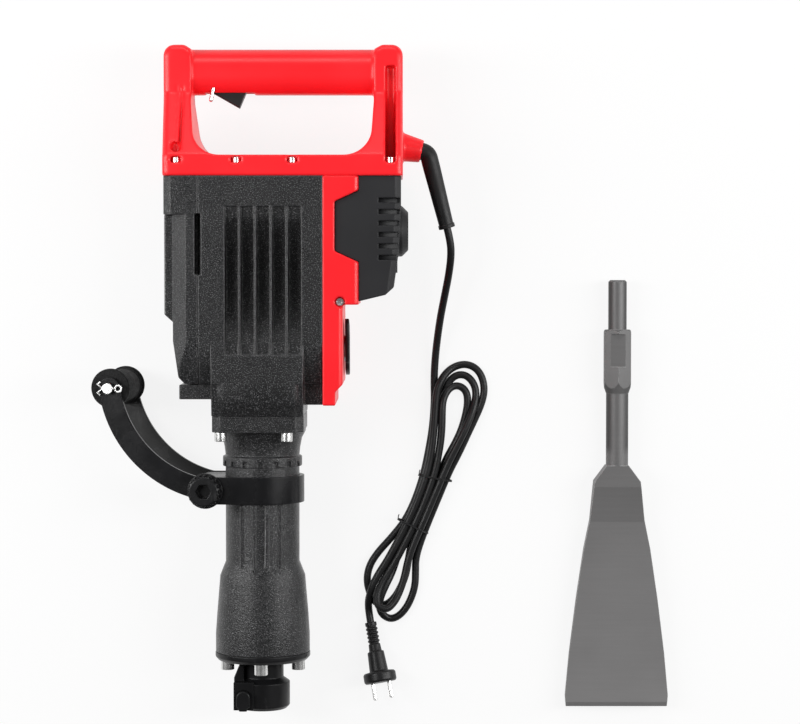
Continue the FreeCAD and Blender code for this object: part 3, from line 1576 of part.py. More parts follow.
def make_trigger():
    body = new_body("trigger")
    outline = polygon(sketch_on(body, "XY_Plane", axis_height - trigger_width / 2), [
        (-trigger_pivot_left - trigger_eye_radius, pivot_height - 4),
        (-trigger_tip_left, pivot_height - trigger_tip_height),
        (-trigger_heel_left, grip_bottom + 3),
        (-trigger_heel_left + 3, pivot_height + 11),
        (-trigger_pivot_left, pivot_height + trigger_eye_radius + 1),
        (-trigger_pivot_left - trigger_eye_radius, pivot_height + 2),
    ])
    pad(body, outline, trigger_width)
    pin_hole = circle(sketch_on(body, "XY_Plane", axis_height + trigger_width / 2),
                      -trigger_pivot_left, pivot_height, trigger_pin_radius + run_gap)
    pocket(body, pin_hole, trigger_width)
    lip = at((-trigger_pivot_left - trigger_eye_radius - trigger_tip_left) / 2,
             pivot_height - (4 + trigger_tip_height) / 2,
             axis_height + trigger_width / 2)
    bevel_edges(body, 1.2, [lip])
    return body


def make_trigger_pin():
    return name_part(rod(trigger_pin_radius, trigger_pin_length, -trigger_pivot_left,
                         pivot_height, axis_height - trigger_pin_length / 2, "+Z"),
                     "trigger_pin")


def make_handle_screws():
    length = handle_screw_seat - case_top + handle_screw_engagement
    screws = [socket_bolt(handle_screw_radius, screw_head_height, handle_shank_radius, length, x,
                          handle_screw_seat, case_depth - screw_inset, "-Y")
              for x in handle_screw_places]
    return group(screws, "handle_screws")


# ---------------------------------------------------------------- side handle

band_inner = barrel_radius + 0.3
band_outer = band_inner + strap_thickness
arm_centre = (-arm_centre_left, -arm_centre_drop)
grip_axis = (-grip_axis_left, -grip_axis_drop)
clamp_axis = (-clamp_left, -strap_height)
band_half = strap_width / 2 + 3


def in_handle_frame(item, x=0, y=0, z=0):
    """Places a piece that was drawn level with the barrel axis; the handle hangs a little."""
    hang = Rotation(Vector(0, 1, 0), -number(swivel_drop))
    frame = Placement(at(0, 0, axis_height), hang)
    item.Placement = frame.multiply(Placement(at(x, y, z), Rotation()))
    return item


def beyond(start, end, times):
    return tuple(first + (last - first) * times for first, last in zip(start, end))


def make_side_handle_strap():
    body = new_body("side_handle_strap")
    for low in (band_inner, -band_outer):
        ring = sketch_on(body, "XY_Plane", low)
        circle(ring, arm_centre[0], arm_centre[1], arm_radius + strap_width / 2)
        circle(ring, arm_centre[0], arm_centre[1], arm_radius - strap_width / 2)
        pad(body, ring, strap_thickness)
    unwanted = polygon(sketch_on(body, "XY_Plane", band_outer + 1), [
        arm_centre,
        beyond(arm_centre, grip_axis, 1.6),
        (-arm_centre_left - 1.7 * arm_radius, 1.7 * arm_radius),
        (1.7 * arm_radius, 1.7 * arm_radius),
        (1.7 * arm_radius, -2 * arm_radius),
        beyond(arm_centre, clamp_axis, 1.6),
    ])
    pocket(body, unwanted, 2 * band_outer + 2)
    for low in (band_inner, -band_outer):
        pad(body, circle(sketch_on(body, "XY_Plane", low), grip_axis[0], grip_axis[1],
                         strap_width / 2), strap_thickness)
        straight = rectangle(sketch_on(body, "XY_Plane", low), -clamp_left - 14, 0,
                             -strap_height - band_half, -strap_height + band_half)
        pad(body, straight, strap_thickness)
    bend = sketch_on(body, "XZ_Plane", strap_height - band_half)
    polygon(bend, [(0, -band_outer), (band_outer, -band_outer), (band_outer, band_outer),
                   (0, band_outer)])
    pad(body, bend, 2 * band_half)
    hollow = circle(sketch_on(body, "XZ_Plane", strap_height - band_half - 1), 0, 0, band_inner)
    pocket(body, hollow, 2 * band_half + 2, True)
    round_edges(body, band_outer - 0.5, [at(band_outer, -strap_height, band_outer),
                                         at(band_outer, -strap_height, -band_outer)])
    holes = sketch_on(body, "XY_Plane", band_outer)
    circle(holes, clamp_axis[0], clamp_axis[1], clamp_bolt_radius + run_gap)
    circle(holes, grip_axis[0], grip_axis[1], side_pin_radius + run_gap)
    pocket(body, holes, 2 * band_outer)
    return in_handle_frame(body)


def make_clamp_saddle():
    spacer = block(-clamp_left - 13, -barrel_radius * 0.6, -strap_height - band_half + 1,
                   -strap_height + band_half - 1, -band_inner, band_inner)
    barrel_side = rod(band_inner, 2 * band_half, 0, -strap_height + band_half, 0, "-Y")
    bolt_hole = rod(clamp_bolt_radius + run_gap, 2 * band_inner, clamp_axis[0], clamp_axis[1],
                    -band_inner, "+Z")
    return in_handle_frame(name_part(cut(spacer, barrel_side, bolt_hole), "clamp_saddle"))


def make_clamp_bolt():
    body = new_body("clamp_bolt")
    washer = clamp_head_radius + 1.5
    turn(body, [
        (0, -band_outer - clamp_nut_height - 6),
        (clamp_bolt_radius, -band_outer - clamp_nut_height - 6),
        (clamp_bolt_radius, band_outer + free_gap),
        (washer, band_outer + free_gap),
        (washer, band_outer + 3),
        (clamp_head_radius, band_outer + 3),
        (clamp_head_radius, band_outer + clamp_head_height - 2),
        (clamp_head_radius - 3, band_outer + clamp_head_height),
        (0, band_outer + clamp_head_height),
    ])
    scallop = circle(sketch_on(body, "XY_Plane", band_outer + clamp_head_height), clamp_head_radius,
                     0, 2.2)
    repeat_round(body, [pocket(body, scallop, clamp_head_height - 3)], 18)
    corner = clamp_socket_flats / math.sqrt(3)
    socket = polygon(sketch_on(body, "XY_Plane", band_outer + clamp_head_height), [
        (corner * math.cos(math.radians(turned)), corner * math.sin(math.radians(turned)))
        for turned in range(0, 360, 60)
    ])
    pocket(body, socket, clamp_head_height - 4)
    return in_handle_frame(body, clamp_axis[0], clamp_axis[1], 0)


def make_clamp_nut():
    nut = cut(hexagon(19, clamp_nut_height, clamp_axis[0], clamp_axis[1],
                      -band_outer - clamp_nut_height, "+Z"),
              rod(clamp_bolt_radius + run_gap, clamp_nut_height, clamp_axis[0], clamp_axis[1],
                  -band_outer - clamp_nut_height, "+Z"))
    return in_handle_frame(name_part(nut, "clamp_nut"))


def make_grip_pin():
    x, y = grip_axis
    shank = rod(side_pin_radius, 2 * band_outer + 9, x, y, -band_outer, "+Z")
    head = rod(side_pin_radius + 3, 3, x, y, -band_outer - 3, "+Z")
    cotter_hole = rod(1.5, 2 * side_pin_radius + 2, x - side_pin_radius - 1, y, band_outer + 4.5,
                      "+X")
    return in_handle_frame(name_part(cut(fuse(shank, head), cotter_hole), "grip_pin"))


def make_cotter_pin():
    """A bent wire: an eye on one side of the pin and two spread legs on the other."""
    x, y = grip_axis
    centre = at(x, y, band_outer + 4.5)
    wire = 1.1
    half = number(side_pin_radius) + 1

    def stretch(first, last, radius):
        run = Vector(*last) - Vector(*first)
        return Part.makeCylinder(radius, run.Length, centre + Vector(*first), run)

    shape = stretch((-half, 0, 0), (half + 1, 0, 0), wire)
    for side in (1, -1):
        knee = (-half - 5, 4.5 * side, 0)
        tip = (-half - 2, 7.5 * side, 0)
        for piece in (stretch((-half + 1, 0, 0), knee, 0.8 * wire),
                      stretch(knee, tip, 0.8 * wire),
                      Part.makeSphere(0.9 * wire, centre + Vector(*knee))):
            shape = shape.fuse(piece)
    link = Vector(half + 4.2, 0, 0)
    eye = Part.makeCylinder(4.4, 1.6, centre + link - Vector(0, 0, 0.8)).cut(
        Part.makeCylinder(2.6, 2, centre + link - Vector(0, 0, 1)))
    return in_handle_frame(from_shape(shape.fuse(eye), "cotter_pin"))


def make_side_grip():
    body = new_body("side_grip")
    bore = side_pin_radius + run_gap
    end = band_inner - free_gap
    turn(body, [
        (bore, -end),
        (side_grip_flange - 1, -end),
        (side_grip_flange, -end + 1),
        (side_grip_flange, -end + 4),
        (side_grip_flange - 2, -end + 6),
        (side_grip_radius, -end + 10),
        (side_grip_radius + 1, 0),
        (side_grip_radius, end - 10),
        (side_grip_flange - 2, end - 6),
        (side_grip_flange, end - 4),
        (side_grip_flange, end - 1),
        (side_grip_flange - 1, end),
        (bore, end),
    ])
    return in_handle_frame(body, grip_axis[0], grip_axis[1], 0)


# ---------------------------------------------------------------- mains lead

boss_way = Vector(math.cos(math.radians(-number(boss_tilt))),
                  math.sin(math.radians(-number(boss_tilt))), 0)
boss_root = at(base_right - 6, boss_height, axis_height)
boss_end = boss_root + boss_way * (number(boss_length) + 6)
guard_corner = boss_end + boss_way * 6.5
guard_fall = 10
guard_end = at(205.2, 114, axis_height - guard_fall)
guard_way = (guard_end - guard_corner).normalize()
cord_route = [
    guard_end,
    guard_end + guard_way * 15,
    Vector(210, 83.5, 0.9 * guard_end.z),
    Vector(207.6, 62.5, 0.76 * guard_end.z),
    Vector(203.4, 40, 0.585 * guard_end.z),
    Vector(198.8, 16, 0.415 * guard_end.z),
    Vector(195.2, -9.5, 0.265 * guard_end.z),
    Vector(192.6, -34.5, 8.5),
    Vector(191.6, -57.6, 5.2),
]
plug_root = Vector(119.3, -334.7, 7)
plug_way = Vector(12.5, -70.7, 15).normalize()
tail_route = [
    Vector(116.3, -308, 4.4),
    plug_root - plug_way * 12.5,
    plug_root,
]


def rounded_path(points):
    """Straight runs joined by the widest tangent arcs that the runs allow."""
    edges = []
    radii = []
    start = points[0]
    for before, corner, after in zip(points, points[1:], points[2:]):
        arriving = (corner - before).normalize()
        leaving = (after - corner).normalize()
        turned = arriving.getAngle(leaving)
        reach = 0.45 * min((corner - before).Length, (after - corner).Length)
        radius = reach / math.tan(turned / 2)
        first = corner - arriving * reach
        last = corner + leaving * reach
        inward = (leaving - arriving).normalize()
        middle = corner + inward * (radius / math.cos(turned / 2) - radius)
        edges.append(Part.LineSegment(start, first).toShape())
        edges.append(Part.Arc(first, middle, last).toShape())
        radii.append(round(radius, 1))
        start = last
    edges.append(Part.LineSegment(start, points[-1]).toShape())
    return Part.Wire(edges), radii


def tube(points, radius):
    path, radii = rounded_path(points)
    start = path.Edges[0]
    way = start.tangentAt(start.FirstParameter)
    ring = Part.Wire(Part.Circle(points[0], way, number(radius)).toShape())
    solid = path.makePipeShell([ring], True, True)
    expected = math.pi * number(radius) ** 2 * path.Length
    print("tube: length %.1f, radii %s, volume share %.4f"
          % (path.Length, radii, solid.Volume / expected))
    return solid


def make_cord_guard():
    """A rubber sleeve that leaves the boss, bends down and narrows to a collar."""
    wide = number(guard_radius)
    start = boss_end - boss_way * number(guard_seat)
    knee_end = guard_corner + guard_way * 17
    knee, radii = rounded_path([start, guard_corner, knee_end])
    print("guard bend radius", radii)
    ring = Part.Wire(Part.Circle(start, boss_way, wide).toShape())
    bend = knee.makePipeShell([ring], True, True)
    run = (guard_end - knee_end).Length
    sleeve = Part.makeCone(wide, wide - 1.4, run - 4, knee_end, guard_way)
    collar = Part.makeCylinder(wide - 0.4, 4, guard_end - guard_way * 4, guard_way)
    return from_shape(bend.fuse([sleeve, collar]).removeSplitter(), "cord_guard")


def cord_tube(points, label):
    return from_shape(tube(points, cord_diameter / 2), label)


hank_outline = [
    (187.6, -57.5), (196.8, -55.2), (205.9, -44.9), (216.1, -38.1), (226.4, -35.8),
    (238.9, -40.4), (248, -51.8), (252.5, -66.6), (251.4, -83.7), (245.7, -104.1),
    (233.2, -132.6), (220.7, -152), (212.7, -165.6), (204.7, -183.8), (196.8, -198.6),
    (188.8, -216.8), (180.8, -231.6), (176.3, -249.8), (174, -274.9), (168.3, -297.7),
    (158.1, -318.1), (143.3, -332.9), (130.7, -327.3), (121.6, -312.5), (111.4, -299.9),
    (110.2, -276), (118.2, -253.3), (135.3, -231.6), (147.8, -216.8), (156.9, -199.8),
    (164.9, -183.8), (174, -165.6), (179.7, -144), (184.2, -115.5), (186.5, -81.4),
]
hank_eye = [
    (204.7, -76.8), (216.1, -65.4), (225.2, -81.4), (220.7, -105.3), (208.1, -133.7),
    (200.2, -144), (201.3, -109.8),
]
lower_eye = [
    (165.5, -280.4), (163.8, -296.4), (156.9, -310.1), (145.5, -322.7), (137.5, -322.7),
    (134.1, -317), (146.7, -310.1), (156.9, -296.4), (162.6, -282.7),
]


def flat_prism(outline, low, high):
    corners = [at(x, y, low) for x, y in outline]
    face = Part.Face(Part.makePolygon(corners + corners[:1]))
    return face.extrude(at(0, 0, high - low))


def hank_shape():
    return flat_prism(hank_outline, 0, hank_height).cut([
        flat_prism(hank_eye, -1, hank_height + 1),
        flat_prism(lower_eye, -1, hank_height + 1),
    ])


def make_cord_hank():
    """The hank's outer shape, with seats where the two free stretches go in."""
    radius = cord_diameter / 2
    return from_shape(hank_shape().cut([tube(cord_route, radius), tube(tail_route, radius)]),
                      "cord_hank")


def make_cord_ties():
    """Two narrow straps round the hank's waist."""
    hank = flat_prism(hank_outline, 0, hank_height)
    straps = []
    for middle, left, right in ((-169, 170, 215), (-222, 141, 189)):
        strap = Part.makeBox(right - left, 4, number(hank_height) + 1.5,
                             Vector(left, middle - 2, 0))
        straps.append(strap.cut(hank))
    return from_shape(Part.makeCompound(straps), "cord_ties")


def along_plug(shape):
    """Carries a shape drawn on +Z from the origin to the plug's line."""
    placed = shape.copy()
    turned = Rotation(Vector(0, 0, 1), plug_way)
    placed.Placement = Placement(plug_root, turned)
    return placed


def turned_shape(corners):
    wire = Part.makePolygon([at(radius, 0, along) for radius, along in corners + corners[:1]])
    return Part.Face(wire).revolve(Vector(), Vector(0, 0, 1), 360)


def make_plug_body():
    flange = plug_flange_radius
    outline = [(0, 0), (6.6, 0), (6.6, 4)]
    for index in range(5):
        along = 4 + index * 4.6
        outline += [(5.6, along + 0.6), (5.6, along + 2.2), (6.8, along + 2.8),
                    (6.8, along + 4.6)]
    outline += [(7.2, 33), (9.4, 34), (10.6, 56), (flange - 1.5, 57), (flange, 59),
                (flange, 67), (flange - 1.5, 69), (0, 69)]
    return from_shape(along_plug(turned_shape(outline)), "plug_body")


def make_plug_pins():
    half = number(plug_pin_spacing) / 2
    lean = math.radians(20)
    pins = []
    for side in (1, -1):
        foot = Vector(side * half * math.cos(lean), side * half * math.sin(lean), 69)
        pin = Part.makeCylinder(number(plug_pin_radius), number(plug_pin_length) - 1, foot)
        tip = Part.makeCone(number(plug_pin_radius), number(plug_pin_radius) - 1, 1,
                            foot + Vector(0, 0, number(plug_pin_length) - 1))
        pins.append(along_plug(pin.fuse(tip)))
    return from_shape(Part.makeCompound(pins), "plug_pins")


def make_lock_pin():
    upward = lock_pin_way().multVec(Vector(0, 0, 1))
    low = lock_pin_foot() - upward * number(lock_pin_drop)
    shank = Part.makeCylinder(number(lock_pin_radius), number(lock_pin_length), low, upward)
    tip = Part.makeSphere(number(lock_pin_radius), low)
    return from_shape(shank.fuse(tip).removeSplitter(), "lock_pin")


# ---------------------------------------------------------------- flat chisel

def make_flat_chisel():
    body = new_body("flat_chisel")
    corner = chisel_flats / math.sqrt(3)
    place(body, chisel_axis, chisel_top, corner, "-Y")
    hex_start = spigot_length
    hex_end = hex_start + chisel_hex_length
    neck_start = hex_end + chisel_taper
    shoulder = chisel_top + chisel_shoulder
    edge = chisel_top + chisel_edge
    shank = polygon(sketch_on(body, "XY_Plane", hex_start), [
        (corner * math.cos(math.radians(turned)), corner * math.sin(math.radians(turned)))
        for turned in range(30, 390, 60)
    ])
    pad(body, shank, neck_start - hex_start)
    groove(body, [
        (corner, hex_end),
        (chisel_neck_radius, neck_start + 0.5),
        (corner + 5, neck_start + 0.5),
        (corner + 5, hex_end),
    ])
    groove(body, [
        (corner, hex_start + 3),
        (corner + 5, hex_start + 3),
        (corner + 5, hex_start - 1),
        (corner - 4, hex_start - 1),
    ])
    turn(body, [
        (0, 0),
        (spigot_radius - 2, 0),
        (spigot_radius, 2),
        (spigot_radius, hex_start + 4),
        (0, hex_start + 4),
    ])
    turn(body, [
        (0, hex_end),
        (chisel_neck_radius, hex_end),
        (chisel_neck_radius, shoulder + 40),
        (0, shoulder + 40),
    ])
    widths = blade_half_widths(shoulder, edge)
    outline = [(half, along) for half, along in widths]
    outline += [(-half, along) for half, along in reversed(widths)]
    blade = polygon(sketch_on(body, "XZ_Plane", -chisel_neck_radius), outline)
    pad(body, blade, 2 * chisel_neck_radius)
    slim = sketch_on(body, "YZ_Plane", -chisel_edge_half - 5)
    for side in (1, -1):
        polygon(slim, [
            (side * chisel_neck_radius, shoulder + 6),
            (side * (blade_thickness / 2), shoulder + 46),
            (side * (edge_thickness / 2), edge - 5),
            (side * 0.4, edge),
            (side * 0.4, edge + 5),
            (side * (chisel_neck_radius + 5), edge + 5),
            (side * (chisel_neck_radius + 5), shoulder + 6),
        ])
    pocket(body, slim, 2 * chisel_edge_half + 10, True)
    notch = rectangle(sketch_on(body, "YZ_Plane", -corner), corner - chisel_notch_depth,
                      corner + 1, hex_start + 5, hex_start + 5 + chisel_notch_length)
    pocket(body, notch, 2 * corner, True)
    return body


def blade_half_widths(shoulder, edge):
    """(half width, distance) down the blade: it flares from its shoulders to the edge."""
    flare = ((0, 0), (0.15, 0.17), (0.36, 0.30), (0.62, 0.52), (0.86, 0.76), (1, 0.95))
    spread = chisel_edge_half - chisel_shoulder_half
    widths = [(chisel_neck_radius, shoulder - 18)]
    for share, along in flare:
        widths.append((chisel_shoulder_half + spread * share,
                       shoulder + (edge - shoulder) * along))
    widths.append((chisel_edge_half - 1, edge))
    return widths


# ---------------------------------------------------------------- building and writing

def build():
    make_gear_case()
    make_gear_cover()
    make_cover_screws()
    make_barrel()
    make_barrel_bolts()
    make_front_flange()
    make_flange_bolts()
    make_tool_holder()
    make_tool_retainer()
    make_cylinder_liner()
    make_buffer_ring()
    make_piston()
    make_piston_seal()
    make_wrist_pin()
    make_connecting_rod()
    make_crank_pin()
    make_crankshaft()
    make_crank_gear()
    make_reduction_gear()
    make_armature_shaft()
    make_armature_core()
    make_commutator()
    make_cooling_fan()
    make_stator()
    make_brush_holders()
    make_crank_bearings()
    make_lay_bearings()
    make_motor_bearings()
    make_striker()
    make_impact_bolt()
    make_motor_housing()
    make_housing_screw()
    make_motor_cap()
    make_oil_window()
    make_window_ring()
    make_top_handle()
    make_switch_body()
    make_trigger()
    make_trigger_pin()
    make_lock_pin()
    make_handle_screws()
    make_side_handle_strap()
    make_clamp_saddle()
    make_clamp_bolt()
    make_clamp_nut()
    make_grip_pin()
    make_cotter_pin()
    make_side_grip()
    make_cord_guard()
    cord_tube(cord_route, "cord_lead")
    make_cord_hank()
    make_cord_ties()
    cord_tube(tail_route, "cord_tail")
    make_plug_body()
    make_plug_pins()
    make_flat_chisel()


def check():
    doc.recompute()
    for item in doc.Objects:
        if "Invalid" in item.State or "Error" in item.State:
            raise ValueError("%s (%s) failed" % (item.Label, item.Name))
    for item in sub_parts:
        if item.Shape.isNull() or not item.Shape.isValid():
            raise ValueError("%s has no valid shape" % item.Label)


def write():
    os.makedirs("parts", exist_ok=True)
    for item in sub_parts:
        item.Shape.exportStep("parts/%s.step" % item.Label)
        print("%-20s %10.0f mm3 %d" % (item.Label, item.Shape.Volume, len(item.Shape.Solids)))


build()
check()
write()
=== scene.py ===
import math

import bmesh
import bpy
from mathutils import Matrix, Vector


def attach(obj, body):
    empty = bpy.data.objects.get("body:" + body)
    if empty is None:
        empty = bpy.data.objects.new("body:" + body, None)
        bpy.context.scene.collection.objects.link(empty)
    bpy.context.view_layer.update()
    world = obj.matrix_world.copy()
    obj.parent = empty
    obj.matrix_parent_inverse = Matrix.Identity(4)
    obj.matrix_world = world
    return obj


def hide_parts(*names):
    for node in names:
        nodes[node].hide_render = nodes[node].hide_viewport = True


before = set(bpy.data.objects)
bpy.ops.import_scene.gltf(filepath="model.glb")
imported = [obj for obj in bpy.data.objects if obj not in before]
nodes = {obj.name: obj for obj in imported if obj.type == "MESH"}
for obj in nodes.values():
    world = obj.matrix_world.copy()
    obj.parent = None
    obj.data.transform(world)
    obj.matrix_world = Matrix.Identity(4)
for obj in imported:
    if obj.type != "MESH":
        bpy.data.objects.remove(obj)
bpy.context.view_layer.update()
scene = bpy.context.scene

# ---------------------------------------------------------------- camera

SENSOR = 36
IMAGE_WIDTH = 800
FOCAL_PIXELS = 2414

camera = bpy.data.objects.new("camera", bpy.data.cameras.new("camera"))
scene.collection.objects.link(camera)
scene.camera = camera
camera.location = (0.15285, 0.06338, 2.74985)
camera.rotation_euler = (-0.0367, 0, 0)
camera.data.sensor_width = SENSOR
camera.data.lens = FOCAL_PIXELS / IMAGE_WIDTH * SENSOR
camera.data.clip_start = 0.05
camera.data.clip_end = 50

# ---------------------------------------------------------------- mains lead

CORD = 0.0085
CORD_EXIT = (0.2052, 0.1140, 0.0600)
cord_points = [
    # from the sleeve on the handle down to the floor
    CORD_EXIT, (0.2089, 0.0996, 0.0583), (0.2100, 0.0835, 0.0540),
    (0.2076, 0.0625, 0.0456), (0.2034, 0.0400, 0.0351), (0.1988, 0.0160, 0.0249),
    (0.1952, -0.0095, 0.0159), (0.1926, -0.0345, 0.0085), (0.1916, -0.0576, 0.0052),
    # first run of the hank and the loop on its left
    (0.1922, -0.0818, 0.0044), (0.1900, -0.1127, 0.0044), (0.1850, -0.1412, 0.0044),
    (0.1800, -0.1652, 0.0044), (0.1703, -0.1949, 0.0044), (0.1586, -0.2189, 0.0044),
    (0.1427, -0.2383, 0.0044), (0.1284, -0.2537, 0.0044), (0.1188, -0.2679, 0.0044),
    (0.1149, -0.2828, 0.0044), (0.1168, -0.2975, 0.0044), (0.1235, -0.3120, 0.0044),
    (0.1352, -0.3162, 0.0044), (0.1460, -0.3080, 0.0044), (0.1544, -0.2936, 0.0044),
    (0.1598, -0.2794, 0.0044), (0.1621, -0.2645, 0.0044),
    # up the right side to the smallest of the upper loops
    (0.1655, -0.2451, 0.0044), (0.1762, -0.2200, 0.0044), (0.1868, -0.1949, 0.0044),
    (0.1997, -0.1618, 0.0044), (0.2066, -0.1458, 0.0044), (0.2146, -0.1321, 0.0044),
    (0.2223, -0.1161, 0.0044), (0.2275, -0.0990, 0.0044), (0.2302, -0.0830, 0.0044),
    (0.2286, -0.0708, 0.0044), (0.2206, -0.0640, 0.0044), (0.2106, -0.0655, 0.0060),
    (0.2034, -0.0745, 0.0105), (0.2004, -0.0875, 0.0129),
    # down again on top of the first run, and round over the loop on the left
    (0.2002, -0.1155, 0.0129), (0.1971, -0.1405, 0.0129), (0.1922, -0.1644, 0.0129),
    (0.1817, -0.1940, 0.0129), (0.1709, -0.2190, 0.0129), (0.1575, -0.2452, 0.0129),
    (0.1487, -0.2622, 0.0129), (0.1385, -0.2781, 0.0132), (0.1310, -0.2909, 0.0155),
    (0.1264, -0.3029, 0.0188), (0.1272, -0.3142, 0.0214), (0.1368, -0.3188, 0.0214),
    (0.1462, -0.3110, 0.0170), (0.1530, -0.2975, 0.0134), (0.1581, -0.2816, 0.0129),
    (0.1615, -0.2645, 0.0129),
    # up on top of the right side to the middle loop
    (0.1677, -0.2452, 0.0129), (0.1789, -0.2201, 0.0129), (0.1899, -0.1940, 0.0129),
    (0.2031, -0.1621, 0.0129), (0.2110, -0.1450, 0.0129), (0.2187, -0.1302, 0.0129),
    (0.2261, -0.1155, 0.0129), (0.2330, -0.0997, 0.0110), (0.2377, -0.0851, 0.0070),
    (0.2398, -0.0721, 0.0044), (0.2364, -0.0605, 0.0044), (0.2281, -0.0522, 0.0044),
    (0.2180, -0.0517, 0.0044), (0.2094, -0.0579, 0.0044), (0.2033, -0.0687, 0.0044),
    # down beside the first run, and round the lowest loop
    (0.2010, -0.0853, 0.0044), (0.2007, -0.1161, 0.0044), (0.1975, -0.1412, 0.0044),
    (0.1898, -0.1652, 0.0044), (0.1790, -0.1949, 0.0044), (0.1675, -0.2200, 0.0044),
    (0.1533, -0.2474, 0.0044), (0.1484, -0.2645, 0.0048), (0.1432, -0.2789, 0.0075),
    (0.1364, -0.2920, 0.0116), (0.1307, -0.3049, 0.0131), (0.1289, -0.3154, 0.0115),
    (0.1322, -0.3255, 0.0075), (0.1415, -0.3314, 0.0046), (0.1512, -0.3282, 0.0044),
    (0.1601, -0.3185, 0.0044), (0.1664, -0.3056, 0.0044), (0.1702, -0.2919, 0.0044),
    (0.1706, -0.2771, 0.0044), (0.1706, -0.2634, 0.0044),
    # up the outer right side to the widest loop
    (0.1745, -0.2474, 0.0044), (0.1850, -0.2200, 0.0044), (0.1954, -0.1949, 0.0044),
    (0.2086, -0.1629, 0.0044), (0.2170, -0.1469, 0.0044), (0.2237, -0.1332, 0.0044),
    (0.2315, -0.1161, 0.0044), (0.2391, -0.1001, 0.0044), (0.2460, -0.0841, 0.0044),
    (0.2492, -0.0693, 0.0044), (0.2466, -0.0544, 0.0044), (0.2389, -0.0436, 0.0044),
    (0.2271, -0.0394, 0.0044), (0.2151, -0.0422, 0.0050), (0.2055, -0.0491, 0.0085),
    (0.1986, -0.0592, 0.0124), (0.1945, -0.0711, 0.0130),
    # the last run, over the others to the plug
    (0.1929, -0.0859, 0.0129), (0.1913, -0.1155, 0.0129), (0.1884, -0.1405, 0.0129),
    (0.1834, -0.1644, 0.0129), (0.1731, -0.1940, 0.0129), (0.1626, -0.2179, 0.0129),
    (0.1482, -0.2452, 0.0129), (0.1389, -0.2622, 0.0129), (0.1288, -0.2776, 0.0132),
    (0.1219, -0.2906, 0.0134), (0.1186, -0.3017, 0.0115), (0.1166, -0.3110, 0.0070),
    (0.1172, -0.3226, 0.0044), (0.1193, -0.3347, 0.0070),
]


def smooth_curve(name, points, radius):
    """One open NURBS spline with the given control points, as a round cable.

    The radius is each point's, because the bound box takes the point's radius as it is.
    """
    data = bpy.data.curves.new(name, "CURVE")
    data.dimensions = "3D"
    spline = data.splines.new("NURBS")
    spline.points.add(len(points) - 1)
    for point, place in zip(spline.points, points):
        point.co = (*place, 1)
        point.radius = radius
    spline.order_u = 3
    spline.use_endpoint_u = True
    spline.resolution_u = 6
    data.bevel_depth = 1
    data.bevel_resolution = 5
    data.use_fill_caps = True
    made = bpy.data.objects.new(name, data)
    scene.collection.objects.link(made)
    return made


cord = smooth_curve("mains_cord", cord_points, CORD / 2)
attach(cord, "housing")
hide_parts("cord_lead", "cord_hank", "cord_tail")

# ---------------------------------------------------------------- materials


